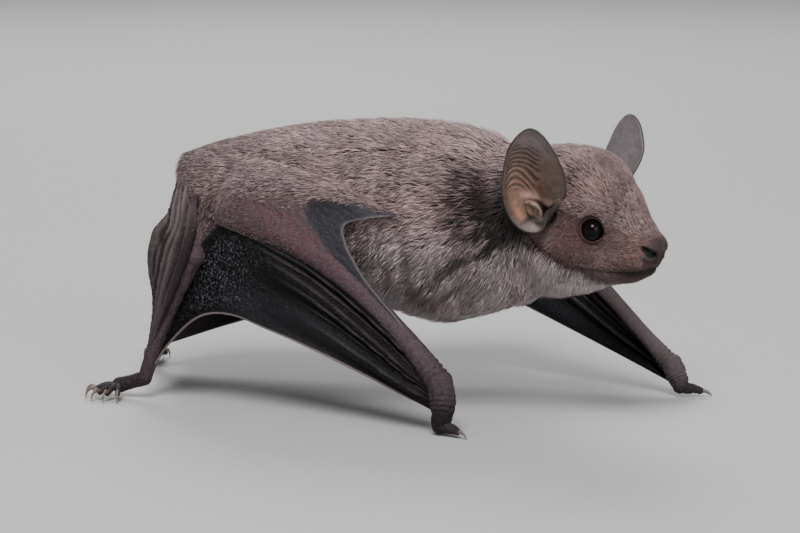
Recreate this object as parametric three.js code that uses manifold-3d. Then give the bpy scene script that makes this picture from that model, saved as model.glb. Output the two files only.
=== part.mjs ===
// A small insect-eating bat standing on its wrists and feet, mid-step, as a life-size still model.
// Millimetres. +X points towards the nose, +Y to the bat's left, +Z up, and the floor is z = 0.
// Flesh parts are drawn out to the tips of the fur. Each part is a closed solid of its own, parted
// from its neighbours by thin cuts.
import * as THREE from "three";
import { mergeVertices } from "three/addons/utils/BufferGeometryUtils.js";
import Module from "manifold-3d";

const wasm = await Module();
wasm.setup();

// ---------------------------------------------------------------------------------------------
// Driving dimensions
// ---------------------------------------------------------------------------------------------
const GAP = 0.3; // clear space left between neighbouring parts
const MERGE = 1e-4; // vertices closer than this are one vertex

// Body: sections from rump to nose, cut round and parted behind and in front of the neck.
const BODY_RINGS = 28; // rings from rump to nose
const BODY_SIDES = 18; // corners of each ring
const NECK_BACK = 16.5; // the rear cut, a level distance along X
const NECK_FRONT = -4.5; // the front cut, a distance along the head's own forward axis
const NECK_FRONT_PITCH = 6; // degrees nose-down of the front cut

// Trunk sections: place along X, height of the back, height of the belly, half width.
const TRUNK_SECTIONS = [
  [-34.9, 35.2, 32.4, 1.2],
  [-34.3, 35.8, 30.0, 3.8],
  [-32.2, 36.7, 26.4, 6.6],
  [-27.5, 38.3, 21.6, 9.4],
  [-19.0, 40.4, 17.8, 11.8],
  [-9.6, 41.9, 15.8, 13.0],
  [0.0, 42.6, 14.0, 13.4],
  [8.0, 42.4, 12.8, 13.0],
  [14.2, 41.2, 14.2, 11.6],
  [18.8, 39.7, 15.8, 9.8],
];

// Head: its own axes start at the ear plane and are turned to the right and tipped down.
const HEAD_CENTRE = new THREE.Vector3(28.77, -1.57, 31.1);
const HEAD_YAW = -16; // degrees about +Z
const HEAD_PITCH = 18; // degrees nose-down
// Head sections: place along the head, height of its top, depth of its throat, half width.
const HEAD_SECTIONS = [
  [-2.6, 8.7, 14.9, 8.5],
  [1.2, 9.0, 12.9, 8.0],
  [3.9, 8.2, 11.2, 6.7],
  [5.9, 7.0, 9.9, 5.4],
  [7.8, 5.8, 8.6, 4.6],
  [9.9, 3.9, 7.4, 3.9],
  [11.9, 2.0, 6.3, 3.4],
  [13.5, 1.3, 5.0, 2.9],
  [14.5, 0.8, 3.9, 2.2],
  [15.0, 0.0, 2.6, 1.2],
];
const EYE_AT = [5.7, 4.5, -0.4]; // forward, outward, up, from the head centre
const EYE_RADIUS = 1.55;
const EAR_THICKNESS = 0.7;
const EAR_RINGS = 4; // rings from the rim to the canal
const EAR_SIDES = 20; // corners of each of those rings
const EAR_CANAL = [-1.0, 5.2, -1.2]; // deepest point of the ear's bowl: forward, outward, up
const EAR_SAG = [-0.36, 0.24, 0.08]; // lean of the bowl's wall behind straight lines to the canal
// The ear's rim, from the front of its root over the tip to the lobe on the cheek.
const EAR_RIM = [
  [2.2, 7.2, 2.4],
  [1.7, 8.9, 6.4],
  [0.9, 10.2, 8.6],
  [-1.7, 11.4, 11.2],
  [-4.2, 12.0, 11.5],
  [-5.9, 12.6, 8.5],
  [-5.6, 13.0, 4.6],
  [-4.8, 12.6, 0.8],
  [-3.8, 11.0, -2.3],
  [-1.8, 9.4, -4.4],
  [1.5, 8.1, -5.3],
  [2.9, 7.2, -4.0],
  [2.7, 7.1, -0.8],
];

// Arms: shoulder, elbow and wrist of each side, where the wrist stands, the low corner of the
// folded wing, the level direction that the thumb points in, and how far the forearm rises above a
// straight line from elbow to wrist.
const ARM = {
  right: {
    shoulder: [2, -9.2, 32.4],
    elbow: [-21.3, -13.5, 29.2],
    wrist: [13.4, -16.8, 7.4],
    bow: 4.1,
    sole: [14, -17.2, 0],
    wingCorner: [-19.8, -15.5, 14.3],
    forward: [0.96, -0.28, 0],
  },
  left: {
    shoulder: [11, 8.6, 30.6],
    elbow: [3.5, 28.5, 32],
    wrist: [34.8, 21.4, 4.7],
    bow: 0,
    sole: [36.7, 21.2, 0],
    wingCorner: [4.4, 25.5, 13],
    forward: [0.98, 0.2, 0],
  },
};
const FOREARM_RADII = [2.2, 2.7, 2.1, 1.6, 1.45, 1.8];
const UPPER_ARM_RADII = [2.9, 2.8, 2.2];
const UPPER_ARM_BOW = 0.9; // outward bend of the upper arm
const WRIST_RADII = [2.1, 2.1, 1.5];
const THUMB_RADII = [0.9, 0.7, 0.5];
const THUMB = [[0.6, 1.3], [1.9, 1.2], [2.9, 0.95]]; // distance forward of the sole, height
const THUMB_CLAW_RADII = [0.38, 0.32, 0.2, 0.1];
const THUMB_CLAW = [[2.7, 0.95], [3.5, 0.95], [4.2, 0.6], [4.5, 0.22]];
const MEMBRANE = 0.6; // thickness of every wing membrane
const PLEATS = 6; // folds across the closed hand
const PLEAT_HEIGHT = 0.5;
// The web in front of the elbow, as shares of the way from the elbow to the shoulder and to the
// wrist: its inner edge lies in the arm, and its free edge runs back from the shoulder and down.
// Both are lifted outwards at the shoulder, clear of the chest.
const PROPATAGIUM_INNER = [[1.05, 0.0], [0.7, -0.03], [0.3, 0.06], [0.12, 0.36], [0.04, 0.68], [0.0, 0.95]];
const PROPATAGIUM_EDGE = [[1.0, 0.1], [0.72, 0.13], [0.53, 0.15], [0.37, 0.31], [0.24, 0.52], [0.05, 0.9]];
const PROPATAGIUM_LIFT = { inner: 4.7, edge: 5.1 };

// Legs: hip, knee, ankle, the ball of the foot, the direction that the toes spread about and the
// angle between neighbouring toes, both in degrees.
const LEG = {
  right: {
    hip: [-25, -7, 28.5],
    knee: [-27.4, -13.3, 21.9],
    ankle: [-34.8, -13.2, 3.3],
    ball: [-39.3, -13.4, 1.9],
    toesTurn: 246,
    toeFan: 25,
  },
  left: {
    hip: [-27, 6.5, 28.5],
    knee: [-34, 10.2, 21.2],
    ankle: [-44.6, 7.2, 3.3],
    ball: [-47.0, 10.2, 1.9],
    toesTurn: 116,
    toeFan: 12,
  },
};
const TOES = 5;
const TOE_LENGTH = 3.6;
const TOE_RADII = [0.7, 0.5, 0.5, 0.42];
const CLAW_RADII = [0.3, 0.3, 0.2, 0.09];
const THIGH_RADII = [3.4, 2.9, 1.7];
const SHANK_RADII = [1.6, 1.3, 1.0];
const FOOT_RADII = [1.15, 1.1, 1.5];
const SOLE_PAD_RADII = [1.5, 1.4];
const SOLE_PAD_HEIGHT = 0.5; // the pad's lower centre, so that the floor cuts it flat
const WEB_SAG = [1.5, 4.5, 8.2, 10.6, 6.2, 1.6]; // how far the tail web hangs back, rump to hem
const WEB_HEM_RISE = 8; // rise of the hem's middle above the ankles
const TAIL = [[-33.4, 0.3, 33.2], [-37.0, 0.2, 30.6], [-40.0, 0.1, 26.8], [-42.0, 0, 22.4]];
const TAIL_RADII = [1.2, 0.9, 0.7, 0.45];

// ---------------------------------------------------------------------------------------------
// Materials
// ---------------------------------------------------------------------------------------------
const finish = (color, roughness) => new THREE.MeshStandardMaterial({ color, roughness, metalness: 0 });
const FUR = finish(0x8d7c7b, 0.9);
const FACE = finish(0x8f7672, 0.75);
const EAR_SKIN = finish(0x7a6662, 0.6);
const ARM_SKIN = finish(0x6b4b50, 0.6);
const WING_SKIN = finish(0x2a2729, 0.55);
const EYEBALL = finish(0x0c0908, 0.08);
const HORN = finish(0xa79a8b, 0.45);

// ---------------------------------------------------------------------------------------------
// Shapes
// ---------------------------------------------------------------------------------------------
const vector = (values) => new THREE.Vector3(...values);
const radians = THREE.MathUtils.degToRad;

/** A closed surface: rings of point(s, angle) for s from 0 to 1, shut by a fan at each end. */
function closedSurface(point, along, around) {
  const rings = Array.from({ length: along + 1 }, (_, i) =>
    Array.from({ length: around }, (_, j) => point(i / along, (2 * Math.PI * j) / around)),
  );
  const middle = (ring) => ring.reduce((sum, p) => sum.add(p), new THREE.Vector3()).divideScalar(around);
  const vertices = [...rings.flat(), middle(rings[0]), middle(rings[along])];
  const first = vertices.length - 2;
  const last = vertices.length - 1;
  const index = [];
  for (let j = 0; j < around; j++) {
    const next = (j + 1) % around;
    index.push(first, next, j);
    for (let i = 0; i < along; i++) {
      const [a, b] = [i * around + j, i * around + next];
      index.push(a, b, b + around, a, b + around, a + around);
    }
    index.push(last, along * around + j, along * around + next);
  }
  return new THREE.BufferGeometry().setFromPoints(vertices).setIndex(index);
}

/** A smooth run of values through rows of numbers, one row for each station. */
function smoothRows(rows) {
  const width = rows[0].length;
  const track = new THREE.CubicInterpolant(rows.map((_, i) => i), rows.flat(), width);
  return (t) => Array.from(track.evaluate(t * (rows.length - 1)));
}

/**
 * A limb: a round tube of that many steps along a smooth path, with a radius at each path point and
 * an end dome of that many rings. It is grown all over by a distance. Its sections are set square
 * to a reference direction, and stretched by a factor along it.
 */
function limb(points, radii, options) {
  const { grow = 0, sides = 8, steps = 5, domes = 2, stretch = 1, reference = [0, 0, 1] } = options;
  const path = new THREE.CatmullRomCurve3(points.map(vector));
  const radiusAt = smoothRows(radii.map((r) => [r]));
  const along = steps + 2 * domes;
  return closedSurface(
    (s, angle) => {
      const ring = Math.round(s * along);
      const t = THREE.MathUtils.clamp((ring - domes) / steps, 0, 1);
      const into = ring < domes ? domes - ring : Math.max(0, ring - domes - steps);
      const lean = (into / (domes + 0.6)) * (Math.PI / 2);
      const radius = radiusAt(t)[0] + grow;
      const tangent = path.getTangent(t);
      const side = tangent.clone().cross(vector(reference)).normalize();
      const over = tangent.clone().cross(side).normalize();
      return path
        .getPoint(t)
        .addScaledVector(tangent, (ring < domes ? -1 : 1) * radius * Math.sin(lean))
        .addScaledVector(side, Math.cos(angle) * radius * Math.cos(lean))
        .addScaledVector(over, Math.sin(angle) * radius * stretch * Math.cos(lean));
    },
    along,
    sides,
  );
}

/** A sheet of even thickness on the surface point(u, v), with walls round its edge. */
function sheet(point, thickness, acrossU, acrossV) {
  const reach = 1e-3;
  const offset = (u, v, distance) => {
    const p = point(u, v);
    const du = point(Math.min(1, u + reach), v).sub(point(Math.max(0, u - reach), v));
    const dv = point(u, Math.min(1, v + reach)).sub(point(u, Math.max(0, v - reach)));
    return p.addScaledVector(du.cross(dv).normalize(), distance);
  };
  const side = (distance) => (s, t) => offset(s, t, distance);
  const grid = (at) =>
    Array.from({ length: acrossU + 1 }, (_, i) =>
      Array.from({ length: acrossV + 1 }, (_, j) => at(i / acrossU, j / acrossV)),
    ).flat();
  const half = thickness / 2;
  const vertices = [...grid(side(half)), ...grid(side(-half))];
  const row = acrossV + 1;
  const under = (acrossU + 1) * row;
  const index = [];
  const quad = (a, b, c, d) => index.push(a, b, c, a, c, d);
  for (let i = 0; i < acrossU; i++)
    for (let j = 0; j < acrossV; j++) {
      const [a, b, c, d] = [i * row + j, (i + 1) * row + j, (i + 1) * row + j + 1, i * row + j + 1];
      quad(a, b, c, d);
      quad(under + d, under + c, under + b, under + a);
    }
  for (let i = 0; i < acrossU; i++) {
    const [a, b] = [i * row, (i + 1) * row];
    quad(b, a, under + a, under + b);
    quad(a + acrossV, b + acrossV, under + b + acrossV, under + a + acrossV);
  }
  for (let j = 0; j < acrossV; j++) {
    const end = acrossU * row;
    quad(j, j + 1, under + j + 1, under + j);
    quad(end + j + 1, end + j, under + end + j, under + end + j + 1);
  }
  return new THREE.BufferGeometry().setFromPoints(vertices).setIndex(index);
}

/** The surface of straight lines from one curve to another, bulged sideways in its middle. */
function ruled(from, to, bulge = [0, 0, 0]) {
  const [start, end] = [from, to].map((points) => new THREE.CatmullRomCurve3(points.map(vector)));
  return (u, v) =>
    start
      .getPoint(u)
      .lerp(end.getPoint(u), v)
      .addScaledVector(vector(bulge), Math.sin(Math.PI * v) * Math.sin(Math.PI * u));
}

// ---------------------------------------------------------------------------------------------
// Cutting and joining
// ---------------------------------------------------------------------------------------------
function solid(geometry) {
  const bare = new THREE.BufferGeometry().setAttribute("position", geometry.getAttribute("position"));
  bare.setIndex(geometry.index);
  const merged = mergeVertices(bare, MERGE);
  const corners = merged.index.array;
  const kept = [];
  for (let i = 0; i < corners.length; i += 3) {
    const [a, b, c] = corners.slice(i, i + 3);
    if (a !== b && b !== c && a !== c) kept.push(a, b, c);
  }
  const vertProperties = merged.attributes.position.array;
  return new wasm.Manifold(new wasm.Mesh({ numProp: 3, vertProperties, triVerts: new Uint32Array(kept) }));
}

function geometryOf(shape) {
  const { vertProperties, triVerts, numProp } = shape.getMesh();
  const geometry = new THREE.BufferGeometry();
  geometry.setAttribute("position", new THREE.BufferAttribute(vertProperties, numProp));
  geometry.setIndex(new THREE.BufferAttribute(triVerts, 1));
  return geometry.toNonIndexed();
}

const joined = (...shapes) => shapes.reduce((a, b) => a.add(b));
const without = (shape, ...cutters) => cutters.reduce((a, b) => a.subtract(b), shape);
const onFloor = (shape) => shape.trimByPlane([0, 0, 1], 0);

function largest(shape) {
  return shape.decompose().reduce((a, b) => (b.volume() > a.volume() ? b : a));
}

const bat = new THREE.Group();

function place(name, shape, material) {
  const geometry = geometryOf(largest(shape));
  geometry.computeVertexNormals();
  const mesh = new THREE.Mesh(geometry, material);
  mesh.name = name;
  bat.add(mesh);
}

// ---------------------------------------------------------------------------------------------
// Head, neck and trunk: one smooth body, parted by two cuts
// ---------------------------------------------------------------------------------------------
/** Right, up and forward axes of a section turned by yaw and tipped nose-down by pitch. */
function sectionAxes(yaw, pitch) {
  const turn = new THREE.Matrix4().makeRotationFromEuler(
    new THREE.Euler(0, radians(pitch), radians(yaw), "ZYX"),
  );
  const [forward, left, up] = [0, 1, 2].map(() => new THREE.Vector3());
  turn.extractBasis(forward, left, up);
  return { forward, right: left.negate(), up };
}

const HEAD = sectionAxes(HEAD_YAW, HEAD_PITCH);

/** A point of the head from its distances forward, outward on one side, and up. */
function onHead([forward, outward, up], side) {
  return HEAD_CENTRE.clone()
    .addScaledVector(HEAD.forward, forward)
    .addScaledVector(HEAD.right, outward * side)
    .addScaledVector(HEAD.up, up);
}

/** One row for a section: its place, yaw, pitch, half width, height above and depth below. */
const trunkRow = ([x, back, belly, wide]) => {
  const high = (back - belly) / 2;
  return [x, 0, belly + high, 0, 0, wide, high, high];
};
const headRow = ([along, top, throat, wide]) => {
  const at = HEAD_CENTRE.clone().addScaledVector(HEAD.forward, along);
  return [...at.toArray(), HEAD_YAW, HEAD_PITCH, wide, top, throat];
};
const bodyAt = smoothRows([...TRUNK_SECTIONS.map(trunkRow), ...HEAD_SECTIONS.map(headRow)]);

/** Head, neck and trunk in one solid, grown outwards by a distance. */
function wholeBody(grow) {
  const point = (s, angle) => {
    const [x, y, z, yaw, pitch, wide, high, deep] = bodyAt(s);
    const { right, up, forward } = sectionAxes(yaw, pitch);
    const height = Math.sin(angle);
    const ends = s === 0 ? -grow : s === 1 ? grow : 0;
    return new THREE.Vector3(x, y, z)
      .addScaledVector(forward, ends)
      .addScaledVector(right, -Math.cos(angle) * (wide + grow))
      .addScaledVector(up, height * ((height > 0 ? high : deep) + grow));
  };
  return solid(closedSurface(point, BODY_RINGS, BODY_SIDES));
}

const body = wholeBody(0);
const bodySpace = wholeBody(GAP);
const neckBack = { normal: [1, 0, 0], at: new THREE.Vector3(NECK_BACK, 0, 0) };
const frontFacing = sectionAxes(HEAD_YAW, NECK_FRONT_PITCH).forward;
const neckFront = { normal: frontFacing.toArray(), at: onHead([NECK_FRONT, 0, 0], 1) };

/** The part of a shape in front of a plane (way 1) or behind it (way -1), half a gap clear of it. */
function beyond(shape, { normal, at }, way) {
  const offset = vector(normal).dot(at) * way + GAP / 2;
  return shape.trimByPlane(normal.map((n) => n * way), offset);
}

// ---------------------------------------------------------------------------------------------
// Eyes and ears
// ---------------------------------------------------------------------------------------------
function eye(side, grow) {
  const ball = new THREE.SphereGeometry(EYE_RADIUS + grow, 12, 7);
  return solid(ball.translate(...onHead(EYE_AT, side).toArray()));
}

/**
 * The bowl of an ear: straight lines run from its rim down to the canal and sag backwards, and
 * the wall is an inner and an outer copy of that bowl.
 */
function ear(side) {
  const rim = new THREE.CatmullRomCurve3(EAR_RIM.map(vector), true);
  const canal = vector(EAR_CANAL);
  const bowl = (depth, angle) => {
    const edge = rim.getPoint(angle / (2 * Math.PI));
    const sag = edge.distanceTo(canal) * depth * (1 - depth);
    return edge.lerp(canal, depth).addScaledVector(vector(EAR_SAG), sag);
  };
  const small = 0.01;
  const deepest = 0.95; // the bowl stops just short of its canal point
  const facing = (depth, angle) => {
    const inwards = bowl(depth + small, angle).sub(bowl(depth - small, angle));
    const onwards = bowl(depth, angle + small).sub(bowl(depth, angle - small));
    return inwards.cross(onwards).normalize();
  };
  const wall = (s, angle) => {
    const ring = Math.round(s * (2 * EAR_RINGS + 1));
    const inner = ring <= EAR_RINGS;
    const steps = inner ? EAR_RINGS - ring : ring - EAR_RINGS - 1;
    const depth = (deepest * steps) / EAR_RINGS;
    const taper = depth === 0 ? 0.6 : 1;
    const half = (inner ? 1 : -1) * taper * (EAR_THICKNESS / 2);
    const local = bowl(depth, angle).addScaledVector(facing(depth, angle), half);
    return onHead(local.toArray(), side);
  };
  return upright(closedSurface(wall, 2 * EAR_RINGS + 1, EAR_SIDES));
}

/** A geometry with every triangle turned over, for a shape that a mirror has turned inside out. */
function turnedOver(geometry) {
  const index = Array.from(geometry.index.array);
  for (let i = 0; i < index.length; i += 3) [index[i + 1], index[i + 2]] = [index[i + 2], index[i + 1]];
  return geometry.clone().setIndex(index);
}

function upright(geometry) {
  const shape = solid(geometry);
  return shape.volume() < 0 ? solid(turnedOver(geometry)) : shape;
}

// ---------------------------------------------------------------------------------------------
// Arms and wings
// ---------------------------------------------------------------------------------------------
const mix = (a, b, t) => a.map((value, i) => value + (b[i] - value) * t);
const shift = (a, b) => a.map((value, i) => value + b[i]);

function upperArm({ shoulder, elbow }, grow = 0) {
  const middle = shift(mix(shoulder, elbow, 0.5), [0, Math.sign(elbow[1]) * UPPER_ARM_BOW, 0]);
  return solid(limb([shoulder, middle, elbow], UPPER_ARM_RADII, { grow, stretch: 1.1 }));
}

/** The bowed axis of a forearm, from the elbow to the wrist. */
function forearmAxis({ elbow, wrist: carpus, bow }) {
  const shares = [0, 0.16, 0.36, 0.6, 0.84, 1]; // where each of the radii stands
  return shares.map((t) =>
    shift(mix(elbow, carpus, t), [0, 0, bow * Math.max(0, Math.sin(Math.PI * t)) ** 0.8]),
  );
}

function forearm(arm, grow = 0) {
  return solid(limb(forearmAxis(arm), FOREARM_RADII, { grow, steps: 8 }));
}

function wrist({ wrist: carpus, sole }, grow = 0) {
  const options = { grow, sides: 10, steps: 4, reference: [1, 0, 0] };
  return onFloor(solid(limb([carpus, mix(carpus, sole, 0.45), sole], WRIST_RADII, options)));
}

/** The thumb lies forward of the wrist on the floor, and its claw hooks down from its end. */
function thumb({ sole, forward }, grow = 0) {
  const ahead = ([distance, height]) => shift(sole, [forward[0] * distance, forward[1] * distance, height]);
  return {
    flesh: onFloor(solid(limb(THUMB.map(ahead), THUMB_RADII, { grow, steps: 3, sides: 6 }))),
    claw: solid(limb(THUMB_CLAW.map(ahead), THUMB_CLAW_RADII, { grow, steps: 3, sides: 5, domes: 1 })),
  };
}

/** The web from the shoulder along the front of the bent elbow to the wrist. */
function propatagium({ shoulder, elbow, wrist: carpus }) {
  const out = Math.sign(shoulder[1]);
  const toShoulder = vector(shoulder).sub(vector(elbow));
  const toWrist = vector(carpus).sub(vector(elbow));
  const onArm = (lift) => ([h, w]) =>
    vector(elbow)
      .addScaledVector(toShoulder, h)
      .addScaledVector(toWrist, w)
      .add(new THREE.Vector3(0, out * lift * h, 0))
      .toArray();
  const inner = PROPATAGIUM_INNER.map(onArm(PROPATAGIUM_LIFT.inner));
  const edge = PROPATAGIUM_EDGE.map(onArm(PROPATAGIUM_LIFT.edge));
  return solid(sheet(ruled(inner, edge), MEMBRANE, 10, 2));
}

/** The folded hand: pleats fan from the wrist to the far edge between elbow and wing corner. */
function handWing(arm) {
  const { elbow, wrist: carpus, wingCorner } = arm;
  const out = Math.sign(elbow[1]);
  const root = shift(carpus, [-3.0, 0, -3.2]);
  const top = new THREE.CatmullRomCurve3(forearmAxis(arm).reverse().map(vector));
  const edge = new THREE.QuadraticBezierCurve3(
    vector(root),
    vector(shift(mix(root, wingCorner, 0.66), [0, 0, 2.0])),
    vector(wingCorner),
  );
  const pleat = (u, v) =>
    PLEAT_HEIGHT * Math.sin(u * PLEATS * Math.PI) * Math.sin(Math.PI * Math.min(1, 0.15 + v));
  const surface = (u, v) =>
    top
      .getPoint(v * 0.97)
      .lerp(edge.getPoint(v), u)
      .add(new THREE.Vector3(0, out * (0.3 + pleat(u, v) + 0.7 * Math.sin(Math.PI * u)), 0));
  return solid(sheet(surface, MEMBRANE, 11, 4));
}

/** The web from the folded hand to the leg, arched along its free lower edge. */
function plagiopatagium({ elbow, wingCorner }, { knee, ankle }) {
  const out = Math.sign(elbow[1]);
  const lower = [
    shift(wingCorner, [-0.5, 0, 0]),
    shift(mix(wingCorner, ankle, 0.35), [-0.4, 0, 2.9]),
    shift(mix(wingCorner, ankle, 0.72), [-0.2, 0, 2.2]),
    shift(ankle, [0.8, 0, 0.6]),
  ];
  const upper = [
    shift(elbow, [-0.4, 0, -1.0]),
    shift(mix(elbow, knee, 0.55), [0, out * 0.3, 0.4]),
    shift(knee, [0.6, 0, 0]),
    shift(mix(knee, ankle, 0.7), [0.6, 0, 0]),
  ];
  return solid(sheet(ruled(lower, upper, [0, out * -1.2, 0]), MEMBRANE, 7, 4));
}

// ---------------------------------------------------------------------------------------------
// Legs and tail
// ---------------------------------------------------------------------------------------------
function thigh({ hip, knee }, grow = 0) {
  return solid(limb([hip, mix(hip, knee, 0.5), knee], THIGH_RADII, { grow, steps: 4 }));
}

function shank({ knee, ankle }, grow = 0) {
  const points = [knee, shift(mix(knee, ankle, 0.45), [-0.6, 0, 0]), ankle];
  return solid(limb(points, SHANK_RADII, { grow, reference: [1, 0, 0] }));
}

/** Centre lines of a toe and of its claw: the toe arches over a knuckle, the claw hooks down. */
function toe({ ball, toesTurn, toeFan }, number) {
  const turn = radians(toesTurn + (number - (TOES - 1) / 2) * toeFan);
  const along = ([distance, height]) =>
    shift([ball[0], ball[1], 0], [Math.cos(turn) * distance, Math.sin(turn) * distance, height]);
  const end = TOE_LENGTH;
  return {
    flesh: [[0, 1.2], [0.3 * end, 1.2], [0.6 * end, 1.7], [end, 1.15]].map(along),
    claw: [[end - 0.1, 1.3], [end + 0.8, 1.5], [end + 1.5, 1.0], [end + 1.75, 0.2]].map(along),
  };
}

function foot(leg, grow = 0) {
  const { ankle, ball } = leg;
  const sole = limb([ankle, mix(ankle, ball, 0.5), ball], FOOT_RADII, { grow, steps: 2, domes: 1 });
  const bottom = [ball[0], ball[1], SOLE_PAD_HEIGHT];
  const padOptions = { grow, steps: 1, domes: 1, reference: [1, 0, 0] };
  const pad = limb([mix(ball, bottom, 0.5), bottom], SOLE_PAD_RADII, padOptions);
  const toes = Array.from({ length: TOES }, (_, n) =>
    solid(limb(toe(leg, n).flesh, TOE_RADII, { grow, steps: 3, sides: 5, domes: 1 })),
  );
  return onFloor(joined(solid(sole), solid(pad), ...toes));
}

function toeClaw(leg, number) {
  return solid(limb(toe(leg, number).claw, CLAW_RADII, { steps: 3, sides: 4, domes: 1 }));
}

/** The web between the legs: it hangs from the rump, bulges backwards, and its hem arches up. */
function uropatagium() {
  const alongLeg = ({ knee, ankle }, out) => {
    const onRump = [[-31.5, out * 6, 34], [-30.6, out * 9, 28]];
    return new THREE.CatmullRomCurve3(
      [...onRump, shift(knee, [-0.8, 0, 0]), shift(ankle, [-0.3, 0, 1.6])].map(vector),
    );
  };
  const [right, left] = [alongLeg(LEG.right, -1), alongLeg(LEG.left, 1)];
  const sagAt = smoothRows(WEB_SAG.map((sag) => [sag]));
  const surface = (u, v) => {
    const middle = Math.sin(Math.PI * u);
    const [back] = sagAt(v);
    return right
      .getPoint(v)
      .lerp(left.getPoint(v), u)
      .add(new THREE.Vector3(-back * middle ** 0.7, 0, WEB_HEM_RISE * middle * v ** 4));
  };
  return upright(sheet(surface, MEMBRANE, 8, 6));
}

function tail(grow = 0) {
  return solid(limb(TAIL, TAIL_RADII, { grow, sides: 6, domes: 1, reference: [1, 0, 0] }));
}

// ---------------------------------------------------------------------------------------------
// The bat
// ---------------------------------------------------------------------------------------------
const SIDES = { right: 1, left: -1 };
const armsAndLegs = Object.keys(SIDES).flatMap((side) => [
  upperArm(ARM[side], GAP),
  forearm(ARM[side], GAP),
  thigh(LEG[side], GAP),
  shank(LEG[side], GAP),
]);

const eyeSockets = Object.values(SIDES).map((side) => eye(side, GAP));
place("head", without(beyond(body, neckFront, 1), ...eyeSockets), FACE);
place("neck", beyond(beyond(body, neckBack, 1), neckFront, -1), FUR);
place("trunk", without(beyond(body, neckBack, -1), ...armsAndLegs), FUR);
place("tail", without(tail(), bodySpace), ARM_SKIN);

const legSpace = Object.values(LEG).flatMap((leg) => [thigh(leg, GAP), shank(leg, GAP), foot(leg, GAP)]);

for (const [name, side] of Object.entries(SIDES)) {
  const arm = ARM[name];
  const leg = LEG[name];
  const armSpace = [upperArm(arm, GAP), forearm(arm, GAP), wrist(arm, GAP)];
  const clearOfLimbs = [bodySpace, ...armSpace, thigh(leg, GAP), shank(leg, GAP)];

  place(`eye_${name}`, eye(side, 0), EYEBALL);
  place(`ear_${name}`, without(ear(side), bodySpace), EAR_SKIN);

  place(`upper_arm_${name}`, without(upperArm(arm), forearm(arm, GAP)), FUR);
  place(`forearm_${name}`, without(forearm(arm), wrist(arm, GAP)), ARM_SKIN);
  place(`wrist_${name}`, wrist(arm), ARM_SKIN);
  place(`thumb_${name}`, without(thumb(arm).flesh, wrist(arm, GAP)), ARM_SKIN);
  place(`thumb_claw_${name}`, without(thumb(arm).claw, thumb(arm, GAP).flesh), HORN);
  place(`propatagium_${name}`, without(propatagium(arm), ...clearOfLimbs), WING_SKIN);
  place(`hand_wing_${name}`, without(handWing(arm), ...clearOfLimbs), WING_SKIN);
  const handEdge = solid(limb([arm.wingCorner, arm.elbow], [MEMBRANE + GAP / 2, MEMBRANE + GAP / 2], {}));
  place(`plagiopatagium_${name}`, without(plagiopatagium(arm, leg), ...clearOfLimbs, handEdge), WING_SKIN);

  place(`thigh_${name}`, without(thigh(leg), shank(leg, GAP)), FUR);
  place(`shank_${name}`, without(shank(leg), foot(leg, GAP)), ARM_SKIN);
  place(`foot_${name}`, foot(leg), ARM_SKIN);
  for (let n = 0; n < TOES; n++)
    place(`toe_claw_${name}_${n + 1}`, without(toeClaw(leg, n), foot(leg, GAP)), HORN);
}

place("uropatagium", without(uropatagium(), bodySpace, tail(GAP), ...legSpace), WING_SKIN);

// Stand the bat with the middle of its footprint at the origin.
const middle = new THREE.Box3().setFromObject(bat).getCenter(new THREE.Vector3());
bat.position.set(-middle.x, -middle.y, 0);

export default bat;
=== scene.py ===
"""A small insect-eating bat standing on its wrists and feet: skin, ears, wings, eyes, claws and coat.

Shapes are worked out in millimetres in the bat's own axes (+X to the nose, +Y to its left, +Z up)
and are moved into the frame, in metres, as each mesh is made.
"""
import math
from functools import partial

import bpy
import numpy as np
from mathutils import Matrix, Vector
from bpy.props import FloatProperty, FloatVectorProperty, PointerProperty


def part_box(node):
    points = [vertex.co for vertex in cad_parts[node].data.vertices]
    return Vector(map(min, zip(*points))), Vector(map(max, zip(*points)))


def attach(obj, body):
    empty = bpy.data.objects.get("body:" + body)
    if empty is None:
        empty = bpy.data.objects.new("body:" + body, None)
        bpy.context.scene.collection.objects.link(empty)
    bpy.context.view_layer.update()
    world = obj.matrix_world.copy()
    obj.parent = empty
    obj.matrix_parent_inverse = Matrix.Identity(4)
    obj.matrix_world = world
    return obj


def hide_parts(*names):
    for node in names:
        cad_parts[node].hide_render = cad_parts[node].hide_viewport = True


bl_info = {
    "name": "Standing bat",
    "version": (1, 0, 0),
    "blender": (4, 5, 0),
    "location": "View3D > Sidebar > Bat",
    "description": "Builds the skin, wings, eyes, claws and coat of a small bat on its CAD frame",
    "category": "Object",
}

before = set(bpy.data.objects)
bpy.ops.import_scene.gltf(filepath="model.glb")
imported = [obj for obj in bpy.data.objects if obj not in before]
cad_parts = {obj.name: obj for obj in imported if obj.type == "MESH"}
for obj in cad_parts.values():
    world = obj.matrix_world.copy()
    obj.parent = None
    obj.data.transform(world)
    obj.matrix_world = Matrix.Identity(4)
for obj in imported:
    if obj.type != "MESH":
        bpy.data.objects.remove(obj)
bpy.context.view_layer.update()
MOST_TRIANGLES = 200000  # in one piece
STEP = 1e-3  # small step of a share, for slopes
FULL_TURN = 2 * math.pi
SIDES = {"right": 1.0, "left": -1.0}

# ---- Anatomy, in millimetres ----
HEAD_CENTRE = np.array([28.77, -1.57, 31.1])
HEAD_YAW, HEAD_PITCH = -16.0, 18.0  # degrees: turned to the right, nose down
EYE_AT = (5.7, 4.5, -0.4)  # forward, outward, up from the head centre
EYE_RADIUS = 1.55

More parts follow.
